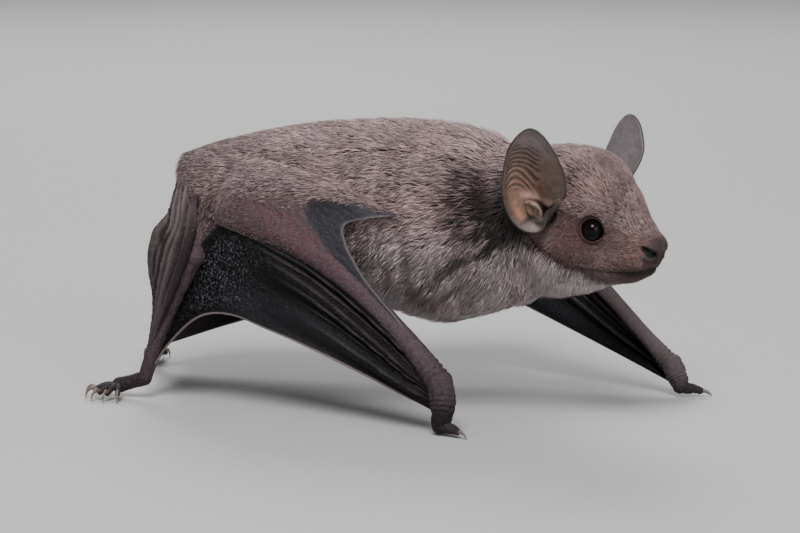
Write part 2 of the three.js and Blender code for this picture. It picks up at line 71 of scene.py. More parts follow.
# Trunk sections: place along X, height of the back, height of the belly, half width.
TRUNK_SECTIONS = np.array([
    [-34.9, 35.2, 32.4, 1.2], [-34.3, 35.8, 30.0, 3.8], [-32.2, 36.7, 26.4, 6.6],
    [-27.5, 38.3, 21.6, 9.4], [-19.0, 40.4, 17.8, 11.8], [-9.6, 41.9, 15.8, 13.0],
    [0.0, 42.6, 14.0, 13.4], [8.0, 42.4, 12.8, 13.0], [14.2, 41.2, 14.2, 11.6],
    [18.8, 39.7, 15.8, 9.8]])
# Head sections: place along the head, height of its top, depth of its throat, half width.
HEAD_SECTIONS = np.array([
    [-2.6, 8.7, 14.9, 8.5], [1.2, 9.0, 12.9, 8.0], [3.9, 8.2, 11.2, 6.7], [5.9, 7.0, 9.9, 5.4],
    [7.8, 5.8, 8.6, 4.6], [9.9, 3.9, 7.4, 3.9], [11.8, 2.0, 6.3, 3.4], [13.2, 1.35, 5.1, 2.85],
    [14.05, 0.85, 4.0, 2.15], [14.5, 0.05, 2.6, 1.2]])
# How deep the skin lies under the tips of the coat, at each trunk and then each head section.
COAT_DEPTH = np.array([0.3, 0.5, 0.8, 1.1, 1.35, 1.5, 1.6, 1.6, 1.6, 1.5,
                       1.2, 0.85, 0.65, 0.5, 0.4, 0.28, 0.2, 0.15, 0.12, 0.1])
# Lines on the side of the head, as places forward and up: the closed lips, the fold from ear to
# mouth, the slit of the nostril and the rim under it.
MOUTH = np.array([[14.75, -2.9], [13.6, -3.65], [12.6, -4.15], [11.2, -4.75], [8.9, -5.6],
                  [5.9, -6.35], [3.9, -6.8]])
EAR_FOLD = np.array([[-3.5, -4.8], [-2.3, -5.55], [-0.6, -5.9], [1.1, -6.15], [2.5, -6.45], [3.3, -6.7]])
NOSTRIL = np.array([[13.25, -0.3], [13.85, -0.5], [14.3, -0.95]])
NOSTRIL_RIM = np.array([[13.4, -1.15], [13.9, -1.5], [14.4, -1.5]])

# Ear, as places forward, outward and up from the head centre: its rim in order round the ear, the
# canal at its bottom, the direction in which its wall bows between them, and a point in its hollow.
EAR_RIM = np.array([
    [1.7, 7.6, 4.0], [1.7, 8.9, 6.4], [0.9, 10.2, 8.6], [-1.7, 11.4, 11.2], [-4.2, 12.0, 11.5],
    [-5.9, 12.6, 8.5], [-5.6, 13.0, 4.6], [-4.8, 12.6, 0.8], [-3.8, 11.0, -2.1],
    [-2.0, 9.5, -3.4], [-0.2, 8.0, -2.8], [-0.4, 7.6, -0.2], [1.1, 7.2, 1.7]])
EAR_CANAL = np.array([-1.0, 5.2, -1.2])
EAR_SAG = np.array([-0.36, 0.24, 0.08])
EAR_HOLLOW = np.array([1.5, 9.5, 2.0])

# Joints and other places of the limbs, then: the direction ahead of the thumb, how far the forearm
# bows up, how stout it is at the wrist, where round it its bone shows (radians), where the wing
# leaves the wrist, whether the upper arm lies along the flank, and the direction of the middle toe
# and the angle between toes (degrees).
LIMBS = {
    "right": dict(shoulder=(2, -9.2, 32.4), elbow=(-21.3, -13.5, 29.2), wrist=(13.4, -16.8, 7.4),
                  sole=(14.0, -17.2, 0), corner=(-19.8, -15.5, 14.3), ahead=(0.96, -0.28, 0), bow=4.1,
                  stout=1.0, bone_turn=1.9, root=(-1.0, 0, -4.0), on_flank=True,
                  hip=(-25, -7, 28.5), knee=(-27.4, -13.3, 21.9), ankle=(-35.7, -13.2, 3.2),
                  ball=(-40.0, -13.4, 1.8), turn=246.0, fan=25.0),
    "left": dict(shoulder=(11, 8.6, 30.6), elbow=(3.5, 28.5, 32), wrist=(34.8, 21.4, 4.7),
                 sole=(36.7, 21.2, 0), corner=(4.4, 25.5, 13), ahead=(0.98, 0.2, 0), bow=0.0,
                 stout=0.74, bone_turn=1.235, root=(-0.2, 0, -2.6), on_flank=False,
                 hip=(-27, 6.5, 28.5), knee=(-34, 10.2, 21.2), ankle=(-44.6, 7.2, 3.3),
                 ball=(-47.0, 10.2, 1.9), turn=116.0, fan=12.0),
}
# Forearm: radii at shares of the way from elbow to wrist.
FOREARM_SHARES = np.array([0, 0.16, 0.36, 0.6, 0.84, 1])
FOREARM_RADII = np.array([2.0, 2.45, 1.9, 1.45, 1.3, 1.7])
FOREARM_TALL = 1.12  # height of the forearm over its width
TOES = 5
TOE_LENGTH = 3.6

WEB_THICKNESS = 0.36
# Ridges of the finger bones in the folded wing: half width as a share of the wing, and how bare and how pale
# they show. The paleness is a painted highlight along the ridges, and the far wing's ridges are made barer
# and paler as painted light.
FINGERS = {"right": dict(width=0.011, bare=0.36, pale=0.05), "left": dict(width=0.019, bare=0.95, pale=0.3)}
# Where the side web leaves the flank: places along X at its front and rear ends, its height, and
# how much higher its front end lies, where it meets the upper arm.
FLANK_LINE = {"right": (-9.0, -26.0, 23.0, 0.0), "left": (10.2, -27.0, 25.0, 4.8)}
# Free edge of the fore web, from its tip over the shoulder to the forearm: shares of the way from
# the elbow to the shoulder and from the elbow to the wrist.
FORE_EDGE = [[0.985, 0.110], [0.90, 0.103], [0.82, 0.103], [0.745, 0.107], [0.68, 0.116],
             [0.63, 0.134], [0.58, 0.165], [0.535, 0.205], [0.485, 0.254], [0.418, 0.337],
             [0.353, 0.431], [0.30, 0.54], [0.22, 0.70], [0.0, 0.93]]
# How far the upper border of a web on the flank lies above the straight ray to its tip, at equal
# steps along it.
FORE_DIP = [[0.0], [0.10], [0.145], [0.152], [0.148], [0.128], [0.098], [0.09], [0.06], [0.0]]
# How far the tail web sags back, at equal steps from rump to hem.
TAIL_WEB_SAG = np.array([3.2, 5.0, 6.6, 7.7, 8.2, 8.6, 9.3, 7.2, 2.3, -1.8])


# ---- Numbers on whole arrays ----
def unit(v):
    """Vectors of length one."""
    return v / np.maximum(np.linalg.norm(v, axis=-1, keepdims=True), 1e-12)


def ramp(x, low, high):
    """Smooth step: 0 below low, 1 above high, and 3t^2 - 2t^3 between."""
    t = np.clip((np.asarray(x, float) - low) / (high - low), 0, 1)
    return t * t * (3 - 2 * t)


def mix(a, b, t):
    """The way from a to b by share t."""
    return a + (b - a) * t


def bell(distance, reach):
    """One at distance 0, falling as exp(-(distance / reach)^2)."""
    return np.exp(-(distance / reach) ** 2)


def spot(at, middle, reach):
    """Bell exp(-d^2) of several coordinates, each measured from its middle by its own reach."""
    return np.exp(-sum(((x - m) / r) ** 2 for x, m, r in zip(at, middle, reach)))


def pushed(grid, way, amount):
    """Points moved along a direction, each by its own amount."""
    return grid + way * amount[..., None]


def steps(count):
    return count


def share_grid(m, n, first=(0, 1), second=(0, 1)):
    """Two parameters u and v on a grid of m by n points, each from its lowest to its highest."""
    return np.meshgrid(np.linspace(*first, m), np.linspace(*second, n), indexing="ij")


def cubic(a, b, da, db, f):
    """Cubic from a to b with slopes da and db, at share f."""
    return ((2 * f**3 - 3 * f**2 + 1) * a + (f**3 - 2 * f**2 + f) * da
            + (3 * f**2 - 2 * f**3) * b + (f**3 - f**2) * db)


def through(rows, t):
    """Smooth curve through rows: cubic pieces whose slope at each row is half the step between
    its neighbours. t runs from 0 to 1 over all rows."""
    rows = np.asarray(rows, float)
    last = len(rows) - 1
    x = np.clip(np.asarray(t, float), 0, 1) * last
    i = np.minimum(x.astype(int), last - 1)
    f = (x - i)[..., None]
    slope = np.gradient(rows, axis=0)
    return cubic(rows[i], rows[i + 1], slope[i], slope[i + 1], f)


def ring_through(rows, t):
    """The same, round a closed ring of rows, with t in turns."""
    rows = np.asarray(rows, float)
    n = len(rows)
    x = np.mod(np.asarray(t, float), 1) * n
    i = x.astype(int) % n
    f = (x - np.floor(x))[..., None]
    p, a, b, q = rows[i - 1], rows[i], rows[(i + 1) % n], rows[(i + 2) % n]
    return cubic(a, b, (b - p) / 2, (q - a) / 2, f)


def axes_of(yaw, pitch):
    """Forward, right and up of a section turned by yaw and tipped nose-down by pitch, degrees."""
    y, p = np.radians(yaw), np.radians(pitch)
    zero = np.zeros_like(y)
    forward = np.stack([np.cos(y) * np.cos(p), np.sin(y) * np.cos(p), -np.sin(p)], -1)
    right = np.stack([np.sin(y), -np.cos(y), zero], -1)
    return forward, right, np.cross(right, forward)


HEAD_FORWARD, HEAD_RIGHT, HEAD_UP = axes_of(np.array(HEAD_YAW), np.array(HEAD_PITCH))


def on_head(local, side=1.0):
    """Points from distances forward, outward on one side, and up, from the head centre."""
    local = np.asarray(local, float)
    return (HEAD_CENTRE + local[..., :1] * HEAD_FORWARD + side * local[..., 1:2] * HEAD_RIGHT
            + local[..., 2:3] * HEAD_UP)


def head_coordinates(points):
    """Forward, rightward and up distances of points from the head centre."""
    q = points - HEAD_CENTRE
    return q @ HEAD_FORWARD, q @ HEAD_RIGHT, q @ HEAD_UP


def polyline_distance(points, line):
    """Least distance from points to a line of straight pieces, in any number of dimensions."""
    best = np.full(points.shape[:-1], np.inf)
    for a, b in zip(line[:-1], line[1:]):
        along = b - a
        t = np.clip(((points - a) @ along) / (along @ along), 0, 1)
        best = np.minimum(best, np.linalg.norm(points - a - t[..., None] * along, axis=-1))
    return best


def waves(points, size, seed, layers=5):
    """Smooth uneven noise from -1 to 1: sines of random directions, lengths near size and phases,
    summed."""
    rng = np.random.default_rng(seed)
    direction = unit(rng.normal(size=(layers, 3)))
    number = FULL_TURN / size * rng.uniform(0.6, 1.6, layers)
    phase = rng.uniform(0, FULL_TURN, layers)
    return np.sin(points @ (direction * number[:, None]).T + phase).sum(-1) / layers**0.5 / 1.4


# ---- Meshes from arrays ----
EYE_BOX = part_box("eye_right")
SHIFT = (np.array(EYE_BOX[0]) + np.array(EYE_BOX[1])) * 500 - on_head(EYE_AT)


class Part:
    """Points, faces and per-point values of one closed surface, turned so that it faces outwards."""

    def __init__(self, points, faces, values=None):
        if winding_volume(points, faces) < 0:
            faces = [f[:, ::-1] for f in faces]
        self.points, self.faces, self.values = points, faces, values or {}


def winding_volume(points, faces):
    """Six times the signed volume inside quads and triangles."""
    total = 0.0
    centre = points.mean(0)
    for f in faces:
        p = points - centre
        for k in range(1, f.shape[1] - 1):
            total += (p[f[:, 0]] * np.cross(p[f[:, k]], p[f[:, k + 1]])).sum()
    return total


def tube_part(grid, values=None):
    """A closed surface from rings of points (rings, around, 3): quads between rings, and a fan
    from the middle of each end ring. Values are arrays on the same grid."""
    rings, around = grid.shape[:2]
    index = np.arange(rings * around).reshape(rings, around)
    after = np.roll(index, -1, axis=1)
    quads = np.stack([index[:-1], after[:-1], after[1:], index[1:]], -1).reshape(-1, 4)
    ends = [grid[0].mean(0), grid[-1].mean(0)]
    points = np.vstack([grid.reshape(-1, 3), ends])
    n = rings * around
    fans = np.vstack([np.stack([np.full(around, n), after[0], index[0]], -1),
                      np.stack([np.full(around, n + 1), index[-1], after[-1]], -1)])
    grown = {}
    for name, value in (values or {}).items():
        flat = value.reshape(n, -1)
        pair = [flat[:around].mean(0), flat[n - around:n].mean(0)]
        grown[name] = np.vstack([flat, pair])
    return Part(points, [quads, fans], grown)


def grid_normals(grid):
    """Normals of a grid of points, from the steps to its neighbours."""
    return unit(np.cross(np.gradient(grid, axis=0), np.gradient(grid, axis=1)))


def sheet_part(middle, thickness, values=None):
    """A closed sheet on a grid of points (m, n, 3): copies half a thickness to either side along
    the normal, thinned to rounded edges, and joined by walls."""
    m, n = middle.shape[:2]
    normal = grid_normals(middle)
    u, v = share_grid(m, n)
    near = np.minimum(np.minimum(u, 1 - u) * m, np.minimum(v, 1 - v) * n)
    half = (thickness / 2 * mix(0.55, 1.0, np.clip(near / 3, 0, 1) ** 0.5))[..., None]
    top, under = middle + normal * half, middle - normal * half
    points = np.vstack([top.reshape(-1, 3), under.reshape(-1, 3)])
    index = np.arange(m * n).reshape(m, n)
    quads = np.stack([index[:-1, :-1], index[1:, :-1], index[1:, 1:], index[:-1, 1:]], -1)
    quads = quads.reshape(-1, 4)
    edge = np.concatenate([index[:, 0], index[-1, 1:], index[-2::-1, -1], index[0, -2:0:-1]])
    ahead = np.roll(edge, -1)
    walls = np.stack([ahead, edge, edge + m * n, ahead + m * n], -1)
    faces = [np.vstack([quads, quads[:, ::-1] + m * n, walls])]
    grown = {name: np.vstack([value.reshape(m * n, -1)] * 2) for name, value in (values or {}).items()}
    return Part(points, faces, grown)


def new_mesh(name, points, faces):
    """A mesh in metres, from points in millimetres and arrays of quads and triangles. Also
    returns the point at each corner."""
    corners = np.concatenate([f.ravel() for f in faces]).astype(np.int32)
    sizes = np.concatenate([np.full(len(f), f.shape[1]) for f in faces])
    starts = np.concatenate([[0], np.cumsum(sizes)[:-1]]).astype(np.int32)
    triangles = int((sizes - 2).sum())
    if triangles >= MOST_TRIANGLES:
        raise RuntimeError(f"{name} has {triangles} triangles")
    mesh = bpy.data.meshes.new(name)
    mesh.vertices.add(len(points))
    mesh.vertices.foreach_set("co", ((points + SHIFT) / 1000).astype(np.float32).ravel())
    mesh.loops.add(len(corners))
    mesh.loops.foreach_set("vertex_index", corners)
    mesh.polygons.add(len(sizes))
    mesh.polygons.foreach_set("loop_start", starts)
    mesh.update(calc_edges=True)
    return mesh, corners


def add_values(mesh, key, data):
    """A point attribute from rows of values: numbers if a row has one, else colours."""
    if data.shape[1] == 1:
        layer = mesh.attributes.new(key, "FLOAT", "POINT")
        layer.data.foreach_set("value", data.astype(np.float32).ravel())
    else:
        data = np.hstack([data, np.ones((len(data), 4 - data.shape[1]))])
        layer = mesh.attributes.new(key, "FLOAT_COLOR", "POINT")
        layer.data.foreach_set("color", data.astype(np.float32).ravel())


def mesh_object(name, parts, material, replaces=(), uv=None, smooth_angle=None):
    """Joins parts into one mesh object at the origin, in metres, riding on the bat's body."""
    offsets = np.cumsum([0] + [len(p.points) for p in parts])
    faces = [f + start for p, start in zip(parts, offsets) for f in p.faces]
    mesh, corners = new_mesh(name, np.vstack([p.points for p in parts]), faces)
    for key in parts[0].values:
        add_values(mesh, key, np.vstack([p.values[key].reshape(len(p.points), -1) for p in parts]))
    if uv is not None:
        layer = mesh.uv_layers.new(name="OFBake")
        layer.data.foreach_set("uv", uv[corners].astype(np.float32).ravel())
    mesh.shade_smooth()
    if smooth_angle is not None:
        mesh.set_sharp_from_angle(angle=math.radians(smooth_angle))
    mesh.materials.append(material)
    piece = bpy.data.objects.new(name, mesh)
    bpy.context.scene.collection.objects.link(piece)
    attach(piece, "root")
    if replaces:
        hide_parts(*replaces)
    return piece


def curve_frames(path, reference):
    """Tangent, side and upward unit vectors along a path, square to a reference direction."""
    tangent = unit(np.gradient(path, axis=0))
    side = unit(np.cross(tangent, np.broadcast_to(reference, path.shape)))
    return tangent, side, np.cross(side, tangent)


def limb_grid(rows, radii, rings, around, reference=(0.0, 0.0, 1.0), stretch=1.0, domes=6):
    """Rings round a smooth path, with a radius through the given ones and half-round ends.
    Returns the grid, the share along the path and the angle of every point, and the ring's own
    outward directions."""
    rings, around = steps(rings), steps(around)
    lean = np.linspace(math.pi / 2, 0, domes, endpoint=False)
    t = np.concatenate([np.zeros(domes), np.linspace(0, 1, rings), np.ones(domes)])
    tip = np.concatenate([lean, np.zeros(rings), lean[::-1]])
    way = np.concatenate([-np.ones(domes), np.zeros(rings), np.ones(domes)])
    fine = np.linspace(0, 1, 200)
    path = through(rows, fine)
    tangent, side, up = (np.stack([np.interp(t, fine, f[:, k]) for k in range(3)], -1)
                         for f in curve_frames(path, np.array(reference, float)))
    radius = through(np.asarray(radii, float)[:, None], t)[:, 0]
    angle = np.linspace(0, FULL_TURN, around, endpoint=False)
    outward = (np.cos(angle)[None, :, None] * side[:, None]
               + stretch * np.sin(angle)[None, :, None] * up[:, None])
    centre = through(rows, t) + tangent * (way * radius * np.sin(tip) * 0.9)[:, None]
    grid = centre[:, None] + outward * (radius * np.cos(tip) * 0.98 + 0.02 * radius)[:, None, None]
    share = np.broadcast_to(t[:, None], grid.shape[:2])
    turn = np.broadcast_to(angle[None], grid.shape[:2])
    return grid, share, turn, unit(outward)


# ---- Body surface ----
def section_rows():
    """Place, yaw, pitch, half width, height, depth and coat depth of every body section."""
    x, back, belly, wide = TRUNK_SECTIONS.T
    high, none = (back - belly) / 2, np.zeros_like(x)
    trunk = np.stack([x, none, belly + high, none, none, wide, high, high], -1)
    at = HEAD_CENTRE + HEAD_SECTIONS[:, :1] * HEAD_FORWARD
    turn = np.tile([HEAD_YAW, HEAD_PITCH], (len(at), 1))
    head = np.hstack([at, turn, HEAD_SECTIONS[:, [3]], HEAD_SECTIONS[:, [1]], HEAD_SECTIONS[:, [2]]])
    return np.hstack([np.vstack([trunk, head]), COAT_DEPTH[:, None]])


BODY_ROWS = section_rows()


def loft(s, angle):
    """The body's plain surface: ellipse halves carried from rump (s 0) to nose (s 1). The angle
    runs from the bat's right over its back. Returns points and outward directions."""
    row = through(BODY_ROWS, s)
    forward, right, up = axes_of(row[..., 3], row[..., 4])
    c, h = np.cos(angle), np.sin(angle)
    under = row[..., 8]
    wide = np.maximum(row[..., 5] - under, 0.05)
    tall = np.maximum(np.where(h > 0, row[..., 6], row[..., 7]) - under, 0.05)
    point = (row[..., :3] + right * (c * wide)[..., None] + up * (h * tall)[..., None])
    outward = unit(right * (c * tall)[..., None] + up * (h * wide)[..., None])
    end = ramp(s, 0.95, 1.0)[..., None] - ramp(-s, -0.04, 0.0)[..., None]
    return point, unit(outward + forward * end * 1.5)


# Swellings (+) and hollows (-) of the head: forward, outward, up; reach in each; amount.
HEAD_RELIEF = [
    ((5.2, 4.6, 2.5), (2.4, 2.0, 0.9), 0.30),  # brow
    ((5.7, 5.2, -0.4), (2.7, 2.4, 2.3), -0.42),  # eye hollow
    ((3.0, 6.0, -4.2), (2.8, 3.0, 2.2), 0.35),  # cheek
    ((11.4, 2.9, -2.7), (2.3, 1.8, 1.4), 0.42),  # whisker pad
    ((9.0, 2.9, 2.6), (2.2, 1.4, 1.3), -0.30),  # side of the bridge
    ((9.6, 0.0, 4.2), (2.2, 1.5, 1.2), -0.25),  # dip of the bridge
    ((8.4, 3.9, -2.4), (1.9, 1.6, 1.6), -0.22),  # hollow before the eye
    ((14.1, 1.2, 0.2), (1.0, 0.9, 0.5), 0.22),  # nose pad
    ((-1.2, 7.4, -0.6), (2.2, 3.0, 2.6), -2.8),  # ear canal
    ((14.8, 0.0, -0.7), (0.8, 0.28, 1.3), -0.22),  # groove between the nostrils
    ((11.5, 1.6, -6.1), (2.6, 1.8, 0.9), 0.20),  # chin
]


def head_relief(points, outward):
    """Moves the plain surface along its outward direction by the head's swellings and hollows,
    each a bell exp(-d^2) over its reach, and by the groove of the closed lips."""
    a, b, c = head_coordinates(points)
    amount = np.zeros(a.shape)
    for at, reach, size in HEAD_RELIEF:
        amount += size * spot((a, np.abs(b), c), at, reach)
    plane, side = np.stack([a, c], -1), np.abs(b)
    lips = polyline_distance(plane, MOUTH)
    amount += ramp(a, 3.0, 4.6) * (0.10 * bell(lips - 0.55, 0.35) - 0.36 * bell(lips, 0.2))
    amount -= 0.34 * bell(polyline_distance(plane, EAR_FOLD), 0.26) * ramp(side, 3.0, 4.5)
    slit, rim = polyline_distance(plane, NOSTRIL), polyline_distance(plane, NOSTRIL_RIM)
    amount += (0.24 * bell(rim, 0.24) - 0.8 * bell(slit, 0.32)) * ramp(side, 0.6, 1.2)
    return pushed(points, outward, amount)


EYE_AXIS = unit(0.34 * HEAD_FORWARD + 0.925 * HEAD_RIGHT + 0.16 * HEAD_UP)
EYE_AXES = {1.0: EYE_AXIS, -1.0: EYE_AXIS - 2 * (EYE_AXIS @ HEAD_RIGHT) * HEAD_RIGHT}
LID_OPENING = 1.50  # radius of the hole in the skin


def eyelids(points):
    """Opens the skin round each eye. Points within the opening spread to its edge and sink behind
    the ball, so the edge is a clean circle, and round it the skin rises to a lid."""
    for side, axis in EYE_AXES.items():
        centre = on_head(EYE_AT, side)
        q = points - centre
        along = q @ axis
        flat = q - along[..., None] * axis
        reach = np.linalg.norm(flat, axis=-1)
        ahead = flat @ HEAD_FORWARD / np.maximum(reach, 1e-9)
        stretch = 1 + 0.16 * np.clip(ahead, 0, 1) ** 8 + 0.06 * np.clip(-ahead, 0, 1) ** 8
        r = reach / stretch
        near = (reach < 3.2) & (along > -1.6)
        inner = np.where(r < 0.9, r * LID_OPENING / 0.9,
                         mix(LID_OPENING, 1.60, np.clip((r - 0.9) / 0.7, 0, 1)))
        moved_r = np.where(r < 1.6, inner, r)
        rim = 0.50 - 0.06 * ramp(r, 1.6, 1.9)
        sunk = mix(-0.35, rim, ramp(r, 0.95, 1.6))
        level = mix(sunk, along, ramp(r, 1.68, 2.5))
        crease = -0.13 * bell(r - 2.25, 0.2) * ramp(flat @ HEAD_UP, -0.6, 1.0)
        target = centre + flat * (moved_r * stretch / np.maximum(reach, 1e-9))[..., None] \
            + (level + crease)[..., None] * axis
        points = np.where(near[..., None], target, points)
    return points


def body_skin(s, angle):
    """Finished skin of head, neck and trunk at s and angle."""
    points, outward = loft(s, angle)
    return eyelids(head_relief(points, outward))


def below_jaw(a, c):
    """Distance below the fold from ear to mouth and, ahead of it, below the lips."""
    line = np.vstack([EAR_FOLD, MOUTH[::-1]])
    return np.interp(a, line[:, 0], line[:, 1]) - c


def below_face(a, c):
    """Distance below the bare face, which takes in the side of the lower jaw ahead of the eye."""
    return below_jaw(a, c) - 1.7 * ramp(a, 4.0, 8.5)


def face_start(c):
    """Places forward between which the coat gives way to the face: behind the ear's base below,
    ahead of it above."""
    high = ramp(c, -1.0, 1.0)
    return mix(-3.8, -0.5, high), mix(-2.2, 2.4, high)


def coat_length(points, s, angle):
    """Length of the hair at each root, long on the neck and belly and short on the bare face."""
    a, _, c = head_coordinates(points)
    on_trunk = mix(mix(2.2, 3.3, ramp(s, 0.04, 0.25)), 3.9, ramp(-np.sin(angle), -0.1, 0.8))
    crown = mix(1.9, 0.75, ramp(a, 1.0, 11.5))
    cheek = mix(2.9, 1.3, ramp(a, 2.0, 13.0))
    haired = np.maximum(ramp(c, 0.2, 2.6), ramp(below_face(a, c), -0.1, 0.5))
    face = mix(0.55, np.where(c > 0, crown, cheek), haired)
    begin, end = face_start(c)
    face = mix(np.maximum(face, 1.9), face, ramp(a, begin, end))
    return mix(on_trunk, face, ramp(a, begin - 3.5, end - 1.6))


def parting_and_shade_share(points):
    """Dark of the coat: dark roots where the hair parts behind the ears, under a painted shadow; painted
    shade in streaks between clumps over the shoulder; painted shade darkening the rear; and a darker band
    along the lips."""
    a, _, c = head_coordinates(points)
    x, y, z = points[..., 0], points[..., 1], points[..., 2]
    # painted shadow behind the ear, over the dark roots where the hair parts
    behind_ear = 3.2 * spot((x, z), (21.4, 33.8), (3.3, 5.4))
    # painted shade: streaks of shadow between clumps over the shoulder
    shoulder = 0.9 * spot((x, z), (16.0, 32.2), (3.9, 6.0))
    # painted shade darkening the rear
    rear = 0.30 * ramp(-x, 16.0, 31.0)
    run = np.stack([0.77 * x - 0.63 * z, 0.16 * (0.63 * x + 0.77 * z), 0 * x], -1)
    # painted shade: more streaks of shadow between clumps over the shoulder
    streaks = ramp(waves(run, 1.25, 19), 0.05, 0.5) * bell(x - 12.0 - 0.75 * (z - 21), 4.2) * ramp(z, 17, 21)
    lines = ramp(waves(run * 1.5, 1.1, 23), -0.5, 0.6)
    parting_and_shade = np.clip(behind_ear + shoulder * (0.45 + 1.1 * lines) + 0.75 * streaks, 0, 1)
    # kept off the midline and the face; the painted shadow is weaker on the far side
    parting_and_shade = parting_and_shade * ramp(np.abs(y + 0.6), 3.5, 7.5) * ramp(-a, 0.5, 3.0) * (1 - 0.4 * ramp(y, 0, 3))
    mouth = bell(below_jaw(a, c) - 0.15, 0.95) * (0.72 * ramp(a, 8.5, 12.5) + 0.2 * ramp(a, 3.0, 6.0))
    return np.maximum(np.maximum(parting_and_shade, rear), np.clip(mouth, 0, 1))


def markings_and_shade(points):
    """Shares that tint skin and coat alike: bareness of the face, paleness of the underside, and the dark
    roots behind the ears with the painted shade and shadow of the coat."""
    a, _, c = head_coordinates(points)
    x, z = points[..., 0], points[..., 2]
    throat = ramp(x, 16.0, 21.0) * ramp(-(z - 33.0), 0.0, 5.0)
    under = np.maximum(ramp(-(z - 31.5), 0.0, 8.0), throat) * ramp(-a, -14.5, -8.0)
    begin, end = face_start(c)
    face = ramp(a, begin, end) * (1 - ramp(c, 0.6, 2.6))
    crown = 0.8 * ramp(a, -4.0, 3.0) * ramp(c, -1.0, 2.0)
    face = np.maximum(face, crown) * (1 - ramp(below_face(a, c), -0.1, 0.5))
    return np.stack([face, under, parting_and_shade_share(points)], -1)


# ---- Materials ----
class Shader:
    """A small helper that adds and links nodes of one material."""

    def __init__(self, name):
        """Starts a material with its principled node."""
        self.material = bpy.data.materials.new(name)
        self.material.use_nodes = True
        self.tree = self.material.node_tree
        self.principled = self.tree.nodes["Principled BSDF"]

    def put(self, socket, value):
        """Links an input to an output, or sets it to a number or colour."""
        if isinstance(value, bpy.types.NodeSocket):
            self.tree.links.new(value, socket)
        else:
            socket.default_value = (*value, 1) if socket.type == "RGBA" else value

    def node(self, kind, inputs=None, **settings):
        """A new node with its settings and inputs."""
        made = self.tree.nodes.new(kind)
        for key, value in settings.items():
            setattr(made, key, value)
        for key, value in (inputs or {}).items():
            self.put(made.inputs[key], value)
        return made

    def place(self):
        """Object coordinates."""
        where = self.node("ShaderNodeTexCoord").outputs["Object"]
        return self.node("ShaderNodeMapping", {"Vector": where}).outputs["Vector"]

    def noise(self, scale, detail=4.0, rough=0.6):
        inputs = {"Scale": scale, "Detail": detail, "Roughness": rough, "Vector": self.place()}
        return self.node("ShaderNodeTexNoise", inputs).outputs["Fac"]

    def cells(self, scale):
        inputs = {"Scale": scale, "Vector": self.place()}
        return self.node("ShaderNodeTexVoronoi", inputs, feature="DISTANCE_TO_EDGE").outputs["Distance"]

    def value(self, name):
        return self.node("ShaderNodeAttribute", attribute_name=name).outputs["Fac"]

    def channels(self, name):
        colour = self.node("ShaderNodeAttribute", attribute_name=name).outputs["Color"]
        return self.node("ShaderNodeSeparateColor", {"Color": colour}).outputs[:3]

    def spread(self, value, low, high, to_low=0.0, to_high=1.0):
        inputs = {"Value": value, "From Min": low, "From Max": high, "To Min": to_low, "To Max": to_high}
        return self.node("ShaderNodeMapRange", inputs, clamp=True).outputs["Result"]

    def maths(self, operation, a, b):
        return self.node("ShaderNodeMath", {0: a, 1: b}, operation=operation).outputs[0]

    def blend(self, a, b, share, kind="MIX"):
        """Colour a towards colour b by share."""
        made = self.node("ShaderNodeMix", data_type="RGBA", blend_type=kind)
        for index, value in ((0, share), (6, a), (7, b)):
            self.put(made.inputs[index], value)
        return made.outputs[2]

    def grain(self, colour, shade, noise, low, high, most):
        """Colour multiplied by a shade where the noise is high, at the most by a share."""
        return self.blend(colour, shade, self.spread(noise, low, high, 0.0, most), "MULTIPLY")

    def bump(self, height, depth, strength=1.0, over=None):
        inputs = {"Height": height, "Distance": depth, "Strength": strength}
        if over is not None:
            inputs["Normal"] = over
        return self.node("ShaderNodeBump", inputs).outputs["Normal"]

    def finish(self, colour, normal=None, **others):
        """Links or sets the principled node's inputs, and returns the material."""
        inputs = {"Base Color": colour}
        if normal is not None:
            inputs["Normal"] = normal
        inputs.update({key.replace("_", " "): value for key, value in others.items()})
        for key, value in inputs.items():
            self.put(self.principled.inputs[key], value)
        return self.material


def skin_material(look):
    """Thin skin under the hair: face, crown and trunk, tinted by the same shares as the coat, painted shade
    among them.
    """
    sh = Shader("Body skin")
    face, _, parting_and_shade = sh.channels("markings_and_shade")
    warm, dark, pale = sh.channels("tint")
    blotch = sh.noise(420.0, 5.0)
    fine = sh.noise(2600.0, 3.0)
    colour = sh.blend(look.coat_root, look.face, face)
    colour = sh.blend(colour, look.face_flush, sh.maths("MULTIPLY", warm, sh.spread(blotch, 0.35, 0.65)))
    # darkens the skin with the coat's dark roots behind the ears and its painted shade
    colour = sh.blend(colour, look.parting_and_shade, parting_and_shade)
    colour = sh.grain(colour, (0.3, 0.25, 0.24), fine, 0.35, 0.62, 0.55)
    # pale skin, with painted highlights
    colour = sh.blend(colour, look.pale_skin, pale)
    # dark skin, with painted shade
    colour = sh.blend(colour, look.dark_skin, dark)
    pores = sh.bump(sh.cells(2100.0), 0.0001, 0.5)
    normal = sh.bump(fine, 0.00012, 0.6, over=pores)
    return sh.finish(colour, normal, Roughness=0.58, Specular_IOR_Level=0.2, Subsurface_Weight=0.12,
                     Subsurface_Scale=0.0012)


